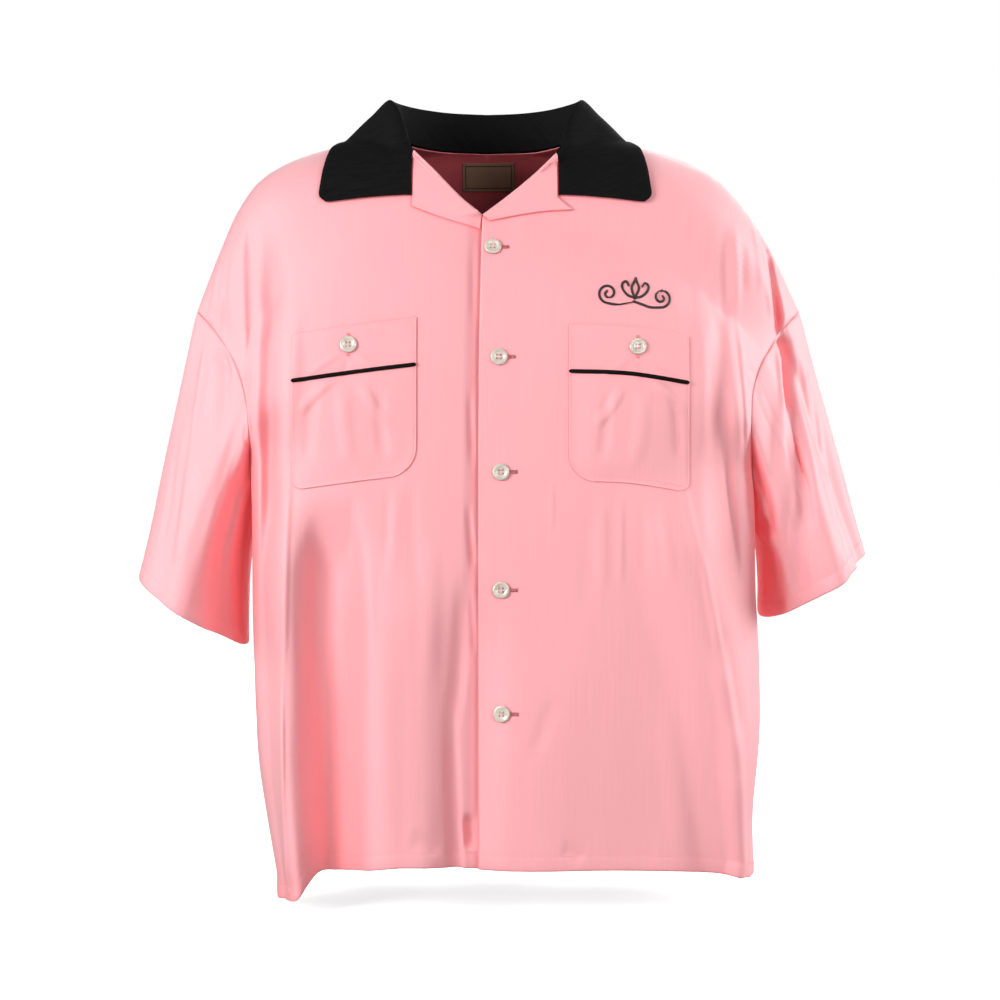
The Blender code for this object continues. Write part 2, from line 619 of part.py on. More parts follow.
def collar_seam(side, steps):
    """The neck seam at each station: along the neck, then down the gorge."""
    neck = along(on_side(side, NECK_BACK_FROM_CENTRE), np.linspace(0, 1, 41))
    rest = along(on_side(side, NECK_FRONT[::-1]), np.linspace(0, 1, 41))
    neck = np.concatenate([neck, rest[1:]])
    inward = np.array([NECK_X, 0.0, 0.0]) - neck
    inward[:, 2] = 0
    inward /= np.linalg.norm(inward, axis=1, keepdims=True)
    neck = neck + inward * NECK_INSET + np.array([0, 0, NECK_RISE])
    gorge = np.array([(NECK_X + side * x, y, z) for x, y, z in GORGE])
    round_neck = along(neck, np.clip(steps / GORGE_STATION, 0, 1))
    down = along(gorge, np.clip((steps - GORGE_STATION) / (len(COLLAR) - 1 - GORGE_STATION), 0, 1))
    return np.where((steps < GORGE_STATION - 0.01)[:, None], round_neck, down)


def collar_grid(front):
    """Points of the collar from the wearer's right end, round the back, to the left end."""
    table = np.array(COLLAR)
    steps = np.linspace(0, len(table) - 1, COLLAR_STATIONS)
    size = {name: through(np.arange(len(table)), table[:, k], steps)
            for k, name in enumerate(COLLAR_COLUMNS)}
    halves = {}
    for side in (RIGHT, LEFT):
        rolls, edges = (np.stack([NECK_X + side * size[p + "_x"], size[p + "_y"], size[p + "_z"]], 1)
                        for p in ("roll", "edge"))
        over = ease((steps - GORGE_STATION + OVER_RUN) / OVER_RUN) * (steps < GORGE_STATION - 0.01)
        seams = collar_seam(side, steps)
        seams += (rolls + (-side * ROLL_NEAR, 0, 0) - seams) * over[:, None]
        fixed = [1 if step < GORGE_STATION - OVER_RUN else 0 for step in steps]
        halves[side] = [collar_row(front, *row) for row in zip(seams, rolls, edges, size["swell"], fixed)]
    return np.array(halves[RIGHT][:0:-1] + halves[LEFT])


def collar_row(front, seam, roll, edge, swell, fixed):
    """One station of the collar: up the stand, over the roll and down the fall.

    All points but the fixed first ones are moved until they stand off the shirt.
    """
    out = np.cross(edge - roll, np.cross((0, 0, 1.0), edge - roll))
    out *= swell / np.linalg.norm(out)
    stand, fall = np.linalg.norm(roll - seam), np.linalg.norm(edge - roll)
    knots = [seam, roll, roll + (edge - roll) * 0.4 + out, edge]
    if stand > 0.012:
        knots.insert(1, seam + (roll - seam) * 0.55)
    turn = stand / (stand + fall)
    fractions = np.r_[np.linspace(0, turn, STAND_COLUMNS), np.linspace(turn, 1, FALL_COLUMNS + 1)[1:]]
    row = along(knots, fractions)
    for k in range(fixed, len(row)):
        row[k] = front.clear(row[k], COLLAR_LIFT)
    return row


def build_collar(front, black):
    grid = collar_grid(front)
    faces = grid_faces(*grid.shape[:2], flip=True)
    cloth("collar", surface("collar", [(grid, faces)]), black, COLLAR_CLOTH)


def build_lapels(front, pink):
    for side, name in ((RIGHT, "lapel_right"), (LEFT, "lapel_left")):
        table = np.array(LAPELS[side])
        steps = np.linspace(0, len(table) - 1, 9)
        sizes = {n: through(np.arange(len(table)), table[:, k], steps)
                 for k, n in enumerate(LAPEL_COLUMNS)}
        grid = np.zeros((len(steps), 6, 3))
        for i in range(len(steps)):
            across = (0.0, 0.7, 1.0)
            for j, t in enumerate((0.0, 0.2, 0.45, 0.7, 0.85, 1.0)):
                x = np.interp(t, across, [sizes[p + "_x"][i] for p in ("roll", "mid", "free")])
                z = -np.interp(t, across, [sizes[p + "_drop"][i] for p in ("roll", "mid", "free")])
                grid[i, j] = (x, front.y(side, x, z) - LAPEL_LIFT, z)
        faces = grid_faces(*grid.shape[:2], flip=side == LEFT)
        cloth(name, surface(name, [(grid, faces)]), pink)


def pocket_point(front, side, across, down, lift):
    """A point of a pocket: across from the near edge, down from its top."""
    size = POCKETS[side]
    x = size["near"] + (size["far"] - size["near"]) * across
    z = -through((0, 0.5, 1), size["top"], across) - down
    return np.array([x, front.y(side, x, z) - lift, z])


def build_pockets(front, pink, black):
    """Pouch, band and piping of each breast pocket."""
    for side, word in ((RIGHT, "right"), (LEFT, "left")):
        wide = abs(POCKETS[side]["far"] - POCKETS[side]["near"])
        start = BAND_TALL + PIPING + LAY
        downs = [start + (POCKET_TALL - start) * t for t in (0, .16, .34, .52, .68, .80, .89, .96, 1)]
        rows = []
        for down in downs:
            near, far = (radius - math.sqrt(max(radius**2 - max(down - POCKET_TALL + radius, 0)**2, 0))
                         for radius in (NEAR_CORNER, FAR_CORNER))
            row = []
            for t in np.linspace(0, 1, 12):
                across = (near + (wide - near - far) * t) / wide
                inner = min(t, 1 - t) * min(1, (POCKET_TALL - down) / 0.05)
                puff = POUCH_PUFF * ease(inner * 4)
                row.append(pocket_point(front, side, across, down, CLOTH + POCKET_LAY + puff))
            rows.append(row)
        grid = np.array(rows)
        name = "pocket_" + word
        cloth(name, surface(name, [(grid, grid_faces(*grid.shape[:2], flip=side == LEFT))]), pink)
        rows = [[pocket_point(front, side, t, down, CLOTH + POCKET_LAY) for t in np.linspace(0, 1, 12)]
                for down in np.linspace(0, BAND_TALL - PIPING - LAY, 4)]
        grid = np.array(rows)
        name = "pocket_band_" + word
        cloth(name, surface(name, [(grid, grid_faces(*grid.shape[:2], flip=side == LEFT))]), pink)
        line = [pocket_point(front, side, t, BAND_TALL, PIPING + POCKET_LAY)
                for t in np.linspace(0, 1, 12)]
        build_piping("piping_" + word, line, black)


def build_piping(name, line, black):
    """A round cord along a line of points, closed at both ends."""
    line = np.array(line)
    ahead = np.gradient(line, axis=0)
    ahead /= np.linalg.norm(ahead, axis=1, keepdims=True)
    up = np.cross(ahead, (0.0, 1.0, 0.0))
    up /= np.linalg.norm(up, axis=1, keepdims=True)
    side = np.cross(ahead, up)
    turn = np.linspace(0, 2 * math.pi, PIPING_SIDES, endpoint=False)[None, :, None]
    grid = line[:, None] + PIPING * (np.cos(turn) * up[:, None] + np.sin(turn) * side[:, None])
    faces = grid_faces(*grid.shape[:2], flip=False, wrap=True)
    last = (len(line) - 1) * PIPING_SIDES
    faces.append(tuple(range(PIPING_SIDES))[::-1])
    faces.append(tuple(range(last, last + PIPING_SIDES)))
    place_object(name, surface(name, [(grid, faces)]), black)


def build_label(front, tan):
    """A bare woven label inside the back, under the collar seam."""
    grid = np.zeros((4, 6, 3))
    for i, down in enumerate(np.linspace(-0.5, 0.5, 4)):
        for j, across in enumerate(np.linspace(-0.5, 0.5, 6)):
            x, z = LABEL_X + LABEL_WIDE * across, -LABEL_DROP - LABEL_TALL * down
            hits = [tree.ray_cast(Vector((x, 0.0, z)), Vector((0, 1, 0)))[0]
                    for tree in front.backs.values()]
            y = min(hit.y for hit in hits if hit is not None)
            grid[i, j] = (x, y - 1.5 * CLOTH - SEAT - LABEL_CLOTH, z)
    cloth("neck_label", surface("neck_label", [(grid, grid_faces(4, 6, flip=True))]), tan, LABEL_CLOTH)


def button_mesh():
    """A turned four-hole button, its face up."""
    r, h = BUTTON_RADIUS, BUTTON_THICK
    profile = ((0.0, h * 0.62), (r * 0.50, h * 0.66), (r * 0.66, h), (r * 0.88, h),
               (r, h * 0.62), (r * 0.94, h * 0.20), (r * 0.72, 0.0), (0.0, 0.0))
    outline = bpy.data.meshes.new("button_profile")
    outline.from_pydata([(x, 0.0, z) for x, z in profile], [(i, i + 1) for i in range(len(profile) - 1)], [])
    blank = bpy.data.objects.new("button_blank", outline)
    bpy.context.scene.collection.objects.link(blank)
    turn = blank.modifiers.new("turn", "SCREW")
    turn.steps = turn.render_steps = 16
    turn.use_merge_vertices = True
    turn.merge_threshold = 0.00001
    cutter_mesh = bpy.data.meshes.new("button_holes")
    shape = bmesh.new()
    for x in (-HOLE_PLACE, HOLE_PLACE):
        for y in (-HOLE_PLACE, HOLE_PLACE):
            bmesh.ops.create_cone(shape, cap_ends=True, segments=5, radius1=BUTTON_HOLE,
                                  radius2=BUTTON_HOLE, depth=3 * h, matrix=Matrix.Translation((x, y, h / 2)))
    shape.to_mesh(cutter_mesh)
    shape.free()
    cutter = bpy.data.objects.new("button_holes", cutter_mesh)
    bpy.data.collections["cutters"].objects.link(cutter)
    cutter.hide_render = True
    cutter.display_type = "WIRE"
    drill = blank.modifiers.new("drill", "BOOLEAN")
    drill.operation = "DIFFERENCE"
    drill.object = cutter
    graph = bpy.context.evaluated_depsgraph_get()
    mesh = bpy.data.meshes.new_from_object(blank.evaluated_get(graph))
    mesh.name = "button"
    bpy.data.objects.remove(blank, do_unlink=True)
    bpy.data.objects.remove(cutter, do_unlink=True)
    return mesh


def build_buttons(front, pearl):
    mesh = button_mesh()
    mesh.shade_smooth()
    mesh.set_sharp_from_angle(angle=math.radians(35))
    places = [("button_front_%d" % (i + 1), LEFT, x, drop, 0.0)
              for i, (x, drop) in enumerate(FRONT_BUTTONS)]
    places += [("button_pocket_right", RIGHT, *POCKET_BUTTONS[RIGHT], CLOTH + POCKET_LAY),
               ("button_pocket_left", LEFT, *POCKET_BUTTONS[LEFT], CLOTH + POCKET_LAY)]
    for name, side, x, drop, under in places:
        out = front.slope(side, x, -drop)
        foot = Vector((x, front.y(side, x, -drop) - under, -drop)) + out * SEAT
        turn = out.to_track_quat("Z", "Y").to_matrix().to_4x4()
        place_object(name, mesh.copy(), pearl, Matrix.Translation(foot) @ turn)


def main():
    clear_scene()
    for name in (NAME, "cutters"):
        collection = bpy.data.collections.new(name)
        bpy.context.scene.collection.children.link(collection)
    pink = make_material("shirt_cloth", PINK, 0.62)
    black = make_material("collar_cloth", BLACK, 0.80)
    tan = make_material("label_weave", TAN, 0.75)
    pearl = make_material("button_pearl", PEARL, 0.25)
    panels = make_panels()
    strip = under_lap(panels)
    front = Front(panels)
    build_body(panels, strip, pink)
    build_sleeves(panels, pink)
    build_collar(front, black)
    build_lapels(front, pink)
    build_pockets(front, pink, black)
    build_label(front, tan)
    build_buttons(front, pearl)


main()
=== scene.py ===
"""Bowling shirt: cloth, stitching, buttons and stage, made on the shirt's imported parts.

Metres, +Z up.  The origin is the middle of the neck's base, the front faces -Y and +X is the
wearer's left.  A drop is a depth below the origin.  A place round the body is 0 at the front
edge, 1 at a side seam and 2 at the centre back.  A cut is a pair of distances on the flat cloth.
"""
from math import cos, pi, radians, sin, sqrt, tau

import bmesh
import bpy
import numpy as np
from bpy.props import FloatProperty, FloatVectorProperty, PointerProperty
from mathutils import Matrix, Vector, noise
from mathutils.bvhtree import BVHTree
from mathutils.kdtree import KDTree


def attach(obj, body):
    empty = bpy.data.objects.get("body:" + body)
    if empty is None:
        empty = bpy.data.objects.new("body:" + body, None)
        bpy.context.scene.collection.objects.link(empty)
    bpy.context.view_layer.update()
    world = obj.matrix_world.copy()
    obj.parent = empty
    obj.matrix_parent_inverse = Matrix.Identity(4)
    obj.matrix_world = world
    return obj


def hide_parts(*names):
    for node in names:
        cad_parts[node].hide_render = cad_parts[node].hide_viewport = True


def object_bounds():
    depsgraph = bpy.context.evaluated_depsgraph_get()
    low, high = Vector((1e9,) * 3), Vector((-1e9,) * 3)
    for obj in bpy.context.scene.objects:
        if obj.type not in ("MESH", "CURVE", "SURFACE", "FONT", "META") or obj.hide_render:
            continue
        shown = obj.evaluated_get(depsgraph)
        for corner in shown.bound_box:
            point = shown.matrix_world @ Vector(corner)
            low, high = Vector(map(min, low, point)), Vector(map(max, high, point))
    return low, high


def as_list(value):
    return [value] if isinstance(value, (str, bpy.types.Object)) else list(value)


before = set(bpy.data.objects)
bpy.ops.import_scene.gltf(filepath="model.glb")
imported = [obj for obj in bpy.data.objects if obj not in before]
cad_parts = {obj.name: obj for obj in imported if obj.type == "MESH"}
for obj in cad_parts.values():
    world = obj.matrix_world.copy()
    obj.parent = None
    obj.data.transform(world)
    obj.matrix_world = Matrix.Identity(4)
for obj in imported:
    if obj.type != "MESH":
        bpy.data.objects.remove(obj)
CAD_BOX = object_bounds()

bl_info = {
    "name": "Bowling shirt",
    "version": (1, 0, 0),
    "blender": (4, 5, 0),
    "location": "View3D > Sidebar > Shirt",
    "description": "Makes a camp-collar bowling shirt, with its folds, stitching and buttons",
    "category": "Object",
}

# ---------------- sizes of the shirt

SIDES = RIGHT, LEFT = -1, 1  # the wearer's sides

# Cloth, seams and overlap
STAND_OFF = 0.0012  # first step of the collar off cloth that it had sunk into
BUTTON_SEAT = 0.0003  # clear gap under a button
THREAD_LIFT = 0.0001  # how far the middle of a sewing thread stands off its cloth
LAP = 0.0021  # step between the two fronts where they overlap
LAP_WIDE = 0.036  # width of that overlap
LAP_EASE = 0.045  # run over which the under front comes forward again
LAP_DIP, DIP_WIDE = 0.0034, 0.015  # how far it sinks beside the edge that covers it, and over what width

# Mesh rows and columns
ROWS_ABOVE = 13  # rows from the armhole's corner to the shoulder seam
BREAK_ROW = 7  # the one of them at which the lapels break
NAPE_ROW = 8  # the one at which the centre back meets the neck seam
FRONT_COLUMNS = 24
BACK_COLUMNS = 20  # on each side of the centre back
FRONT_SCOOP = 18  # column at the armhole's corner; the rest end under the arm
BACK_SCOOP = 15

# Body below the armholes: sizes of the ring at each drop
CORNER_DROP = 0.322  # where an armhole turns in under the arm
UNDERARM_DROP = 0.362  # lowest point of an armhole
BODY = {
    "drop":        (CORNER_DROP, UNDERARM_DROP, 0.43, 0.5, 0.58, 0.65, 0.705),
    "half_wide":   (0.2345, 0.2345, 0.2355, 0.2368, 0.2345, 0.2265, 0.2215),
    "front_y":     (-0.135, -0.135, -0.1345, -0.134, -0.133, -0.131, -0.13),
    "back_y":      (0.125, 0.125, 0.125, 0.124, 0.122, 0.12, 0.119),
    "side_y":      (0.01, 0.01, 0.009, 0.006, 0.002, 0.0, 0.0),
    "front_power": (4.2, 4.2, 3.8, 3.2, 2.9, 2.7, 2.6),
    "left_power":  (4.2, 4.2, 4.1, 4.1, 4.0, 3.9, 3.8),
    "back_power":  (3.2, 3.2, 2.9, 2.7, 2.6, 2.5, 2.5),
}
# The shirt hangs a little askew: its middle drifts to the wearer's left on the way down
MIDDLE = {
    "drop": (0.0, 0.05, 0.1, 0.15, 0.25, 0.35, 0.45, 0.55, 0.65, 0.7),
    "x":    (0.0035, 0.0065, 0.0115, 0.0145, 0.0155, 0.0198, 0.021, 0.024, 0.025, 0.0285),
}
# Lowest edge of the cloth, by place round the body
HEM = {
    "place": (-2.0, -1.3, -1.0, -0.9, -0.8, -0.7, -0.65, -0.61, -0.57, -0.5, -0.42, -0.28, -0.15,
              0.0, 0.4, 0.58, 0.72, 0.8, 1.0, 1.3, 2.0),
    "drop":  (0.69, 0.694, 0.706, 0.722, 0.721, 0.7165, 0.712, 0.701, 0.6925, 0.691, 0.687, 0.681,
              0.681, 0.6835, 0.6845, 0.687, 0.692, 0.6965, 0.699, 0.694, 0.69),
}
# Upright edges of the panels, from armpit height upwards: x, y, drop
FRONT_EDGE = ((-0.0024, -0.135, CORNER_DROP), (-0.0016, -0.13, 0.2),
              (-0.0004, -0.1215, 0.145), (0.0007, -0.103, 0.095))
CENTRE_BACK = ((0.0182, 0.125, CORNER_DROP), (0.016, 0.1245, 0.25), (0.0145, 0.12, 0.15),
               (0.0085, 0.106, 0.07), (0.0035, 0.078, 0.012))
# Edges given by distance from the middle: half width, y, drop
NECK_POINT = (0.0865, 0.0, 0.006)  # where a shoulder seam meets the neck
NECK_FRONT = ((0.0675, -0.076, 0.034), (0.08, -0.04, 0.015), NECK_POINT)
NECK_BACK_FROM_CENTRE = ((0.0, 0.078, 0.012), (0.045, 0.068, 0.0115), (0.074, 0.04, 0.0095),
                         NECK_POINT)
NECK_BACK = NECK_BACK_FROM_CENTRE[1:]
SHOULDER = (NECK_POINT, (0.125, 0.0, 0.013), (0.1645, 0.0, 0.0222),
            (0.1955, 0.0, 0.0345), (0.2165, 0.0, 0.0478), (0.239, 0.0, 0.0745),
            (0.2608, 0.0, 0.1145), (0.2855, 0.0, 0.1725))
# Armholes above their corners, which lie on the ring
ARMHOLE_FRONT = ((0.229, -0.09, 0.285), (0.233, -0.085, 0.25), (0.24, -0.075, 0.23),
                 (0.2535, -0.055, 0.2085), (0.2695, -0.03, 0.188), SHOULDER[-1])
ARMHOLE_BACK = ((0.2285, 0.095, 0.285), (0.232, 0.093, 0.25), (0.24, 0.082, 0.227),
                (0.2535, 0.061, 0.204), (0.2695, 0.034, 0.185), SHOULDER[-1])

# Folds of the body, by place at the top and foot.  A height below 0 is a trough.
FOLD_COLUMNS = ("top", "foot", "from_drop", "to_drop", "half_wide", "high")
BODY_FOLDS = (
    # wearer's right front
    (-0.8, -0.8, 0.24, 0.66, 0.036, 0.006),
    (-0.61, -0.68, 0.22, 0.54, 0.022, -0.006),
    (-0.54, -0.67, 0.34, 0.8, 0.028, 0.026),
    (-0.4, -0.485, 0.34, 0.8, 0.036, -0.024),
    (-0.225, -0.25, 0.38, 0.8, 0.055, 0.01),
    (-0.02, -0.045, 0.42, 0.8, 0.04, -0.008),
    # wearer's left front
    (0.17, 0.16, 0.46, 0.8, 0.05, 0.003),
    (0.42, 0.41, 0.46, 0.8, 0.045, -0.002),
    (0.48, 0.78, 0.32, 0.8, 0.058, 0.019),
    (0.61, 0.7, 0.2, 0.47, 0.026, -0.012),
    (0.8, 0.8, 0.22, 0.44, 0.026, 0.006),
    # sides, which the sleeves push in
    (-1.0, -1.0, 0.345, 0.54, 0.085, -0.013),
    (1.0, 1.0, 0.345, 0.5, 0.08, -0.012),
    # back
    (-1.22, -1.24, 0.3, 0.8, 0.036, 0.011),
    (-1.37, -1.4, 0.32, 0.8, 0.036, -0.015),
    (-1.56, -1.6, 0.24, 0.8, 0.046, 0.011),
    (-1.78, -1.8, 0.28, 0.8, 0.042, -0.014),
    (2.04, 2.02, 0.16, 0.8, 0.052, 0.01),
    (1.8, 1.78, 0.3, 0.8, 0.038, -0.013),
    (1.6, 1.63, 0.22, 0.8, 0.048, 0.011),
    (1.41, 1.42, 0.34, 0.8, 0.036, -0.016),
    (1.23, 1.2, 0.3, 0.8, 0.036, 0.011),
)
FOLD_FADE = 0.08  # length over which a fold rises out of the cloth
FOLD_FOOT = 0.69  # drop at which it has its place at the foot
QUARTERS = {"right": 0.285, "left": 0.33, "back": 0.29}  # length round a front or half the back
ROUND = (0.24, 0.13)  # half width and half depth of the body, for the way that folds face
TURN_PLACE = 0.84  # folds nearer the front edge than this rise straight ahead

# Sleeves: outer and inner end of the cuff's edge as x and drop, its y and half depth, and how
# far the front of the edge dips
SLEEVES = {
    RIGHT: {"outer": (-0.326, 0.423), "inner": (-0.2225, 0.488), "y": 0.012,
            "half_deep": 0.09, "dip": 0.003},
    LEFT:  {"outer": (0.364, 0.398), "inner": (0.263, 0.46), "y": 0.012,
            "half_deep": 0.09, "dip": 0.01},
}
# Folds of a sleeve, by place round it (0 underarm, 0.25 front, 0.5 top) at the top and foot
SLEEVE_FOLD_COLUMNS = ("top", "foot", "start", "half_wide", "high")
SLEEVE_FOLDS = {
    RIGHT: ((0.26, 0.14, 0.0, 0.04, -0.01),
            (0.36, 0.27, 0.2, 0.034, 0.008),
            (0.64, 0.7, 0.15, 0.036, 0.008),
            (0.76, 0.84, 0.05, 0.038, -0.009)),
    LEFT:  ((0.3, 0.2, 0.02, 0.034, -0.005),
            (0.4, 0.3, 0.1, 0.026, 0.01),
            (0.46, 0.41, 0.15, 0.022, -0.008),
            (0.66, 0.72, 0.1, 0.034, 0.008),
            (0.78, 0.85, 0.05, 0.038, -0.009)),
}
SLEEVE_FADE = 0.3  # share of the sleeve's length over which its folds rise
SLEEVE_GIRTH = 0.52  # mean length round a sleeve
UNDERARM_EASE = 0.006  # how far the underside stands off the straight line

# Collar, from centre back to the front end.  Its seam follows the neck, then the gorge.
NECK_X = 0.0035  # middle of the neck
COLLAR_COLUMNS = ("roll_x", "roll_y", "roll_z", "edge_x", "edge_y", "edge_z", "swell")
COLLAR = (
    (0.0, 0.088, 0.028, 0.0, 0.112, -0.034, 0.005),
    (0.034, 0.085, 0.029, 0.044, 0.107, -0.0335, 0.005),
    (0.064, 0.068, 0.0305, 0.088, 0.089, -0.029, 0.005),
    (0.084, 0.038, 0.031, 0.119, 0.056, -0.02, 0.004),
    (0.09, 0.002, 0.0285, 0.134, 0.012, -0.0125, 0.002),
    (0.0815, -0.03, 0.016, 0.142, -0.022, -0.026, 0.003),
    (0.0725, -0.059, -0.012, 0.147, -0.044, -0.048, 0.003),
    (0.069, -0.0785, -0.038, 0.1505, -0.06, -0.064, 0.003),
    (0.069, -0.09, -0.058, 0.151, -0.066, -0.0745, 0.002),
    (0.0685, -0.096, -0.0745, 0.145, -0.07, -0.0805, 0.001),
)
GORGE = ((0.0672, -0.078, -0.036), (0.0672, -0.09, -0.058), (0.0668, -0.096, -0.0745))
GORGE_STATION = 7  # the first station whose seam is the gorge
STAND_COLUMNS = 4
FALL_COLUMNS = 6
COLLAR_STATIONS = 19  # from centre back to a front end
LEVEL_Y = 0.06  # nearer the shoulder line than this, the collar is lifted at a slant
NECK_INSET = 0.0042  # how far inside the neck's edge the stand is sewn
NECK_RISE = 0.0011  # and how far above it
OVER_RUN = 2.0  # stations over which the seam climbs over the neck's edge
ROLL_NEAR = 0.0018  # how close to the roll it lies along the gorge

# Lapels, from the break above the top button to the gorge
LAPEL_STOPS = (0.0, 0.7, 1.0)  # shares of the way across at which roll, mid and free are
LAPEL_COLUMNS = ("roll_x", "roll_drop", "mid_x", "mid_drop", "free_x", "free_drop")
LAPELS = {
    RIGHT: ((0.0, 0.0945, -0.0008, 0.102, -0.001, 0.106),
            (-0.019, 0.0785, -0.0205, 0.093, -0.0215, 0.1),
            (-0.041, 0.0555, -0.043, 0.08, -0.044, 0.0925),
            (-0.062, 0.034, -0.0625, 0.07, -0.063, 0.085)),
    LEFT:  ((0.003, 0.0945, 0.006, 0.097, 0.008, 0.0985),
            (0.025, 0.0775, 0.03, 0.088, 0.033, 0.0935),
            (0.049, 0.057, 0.055, 0.079, 0.059, 0.0895),
            (0.069, 0.037, 0.0692, 0.0765, 0.083, 0.088)),
}

# Pockets: x of the edges near to and far from the front edge, and drops of the top between them
POCKETS = {
    RIGHT: {"near": -0.0576, "far": -0.1705, "top": (0.1875, 0.1945, 0.2022)},
    LEFT:  {"near": 0.0785, "far": 0.187, "top": (0.1936, 0.1958, 0.204)},
}
POCKET_TALL = 0.141
BAND_TALL = 0.0425  # from the top to the piping
NEAR_CORNER = 0.024  # radius of the lower corner near the front edge
FAR_CORNER = 0.011
PIPING_GAP = 0.0006  # from the middle of the piping to the pouch and to the band
POCKET_GAP = 0.0003  # clear gap under a pocket

# Neck label on the inside of the back
LABEL_WIDE, LABEL_TALL = 0.0515, 0.0265
LABEL_X, LABEL_DROP = 0.0057, 0.0338
LABEL_CLOTH = 0.0006
LABEL_GAP = 0.0009  # clear gap behind it
LABEL_BORDER = 0.0032  # from its edge to the woven line

# Buttons
BUTTON_RADIUS = 0.0077
BUTTON_THICK = 0.0024
BUTTON_HOLE = 0.0009  # radius of a thread hole
HOLE_PLACE = 0.0016  # from the middle to a hole, along each side
# Its section, from the middle of the face round to the back, as shares of radius and thickness
BUTTON_PROFILE = ((0.0, 0.6), (0.3, 0.61), (0.46, 0.64), (0.56, 0.72), (0.64, 0.9), (0.7, 0.98),
                  (0.78, 1.0), (0.86, 0.97), (0.94, 0.86), (0.985, 0.7), (1.0, 0.52), (0.985, 0.34),
                  (0.92, 0.17), (0.78, 0.05), (0.6, 0.0), (0.0, 0.0))
# A thread from one hole to the next: shares of the way, of its place aside and of the thickness
BUTTON_THREAD = ((-1.0, 1.0, -1 / 12), (-0.96, 1.0, 0.62), (-0.5, 0.8, 0.82), (0.0, 0.8, 0.88),
                 (0.5, 0.8, 0.82), (0.96, 1.0, 0.62), (1.0, 1.0, -1 / 12))
FRONT_BUTTONS = ((0.0105, 0.123), (0.0161, 0.2232), (0.0179, 0.3264), (0.018, 0.432),
                 (0.0188, 0.543))
POCKET_BUTTONS = {RIGHT: (-0.1187, 0.2122), LEFT: (0.1405, 0.214)}

# How much finer the cloth is made than its solids: points for each of theirs
FRONT_FINE, BACK_FINE, ROW_FINE = 8, 6, 6
STAND_FINE, FALL_FINE, STATION_FINE = 5, 5, 6
LAPEL_ROWS, LAPEL_ACROSS = 65, 41  # a lapel's own rows and columns
PIPING_ROWS, PIPING_ROUND = 90, 14  # points along a piping and round it
LAP_COLUMNS = 12
WELD = 0.00002  # points closer than this are one where two halves meet
LEAST_AREA = 0.31  # least share of its flat size that a piece of cloth covers
HEM_STITCH = 0.0134  # from the hem's edge to its line of stitches
HEM_ROWS = (0.0, 0.0015, 0.005, 0.009, 0.0122, HEM_STITCH, 0.0146, 0.0158, 0.0185, 0.023, 0.03)
ROWS_UP = 90  # rows from there to the armhole's corner
SLEEVE_LENGTHS = 60  # rows down a sleeve, above those of its cuff

# Finished edges: distances from the edge, and how far the cloth stands up there
HEM_BAND = ((0.0, 0.0006, 0.002, 0.012, HEM_STITCH, 0.0148, 0.02),
            (-0.0002, 0.0001, 0.0002, 0.0002, -0.0001, 0.0, 0.0))
COLLAR_EDGE = ((0.0, 0.001, 0.003, 0.0052, 0.006, 0.0068, 0.01),
               (-0.0005, 0.0001, 0.0002, 0.0001, -0.0004, 0.0001, 0.0))
LAPEL_EDGE = ((0.0, 0.0008, 0.003, 0.004, 0.005), (-0.0005, 0.0001, 0.0001, -0.0002, 0.0))
POCKET_EDGE = ((0.0, 0.0006, 0.0014, 0.0021, 0.0028, 0.004),
               (-0.0002, 0.0002, 0.0002, -0.0002, 0.0001, 0.0))
RIM_CALM = 0.01  # how far from its rim a collar or lapel is as uneven as cloth is
SEAM_ROLL = 0.0004  # how far the cloth sinks into a seam
SEAM_RUN = 0.0032
SEAM_PUCKER = 1.8  # puckers of an armhole, next to those of a hem
PUCKER_HIGH, PUCKER_REACH = 0.00045, 0.007  # height, and distance from the stitches
PUCKER_WAVE = (0.011, 0.011, 0.05)
CALM = 0.014  # how far from a seam the soft folds have their full height
HOLE_SHARE = 0.6  # share of that height that crosses an armhole's seam

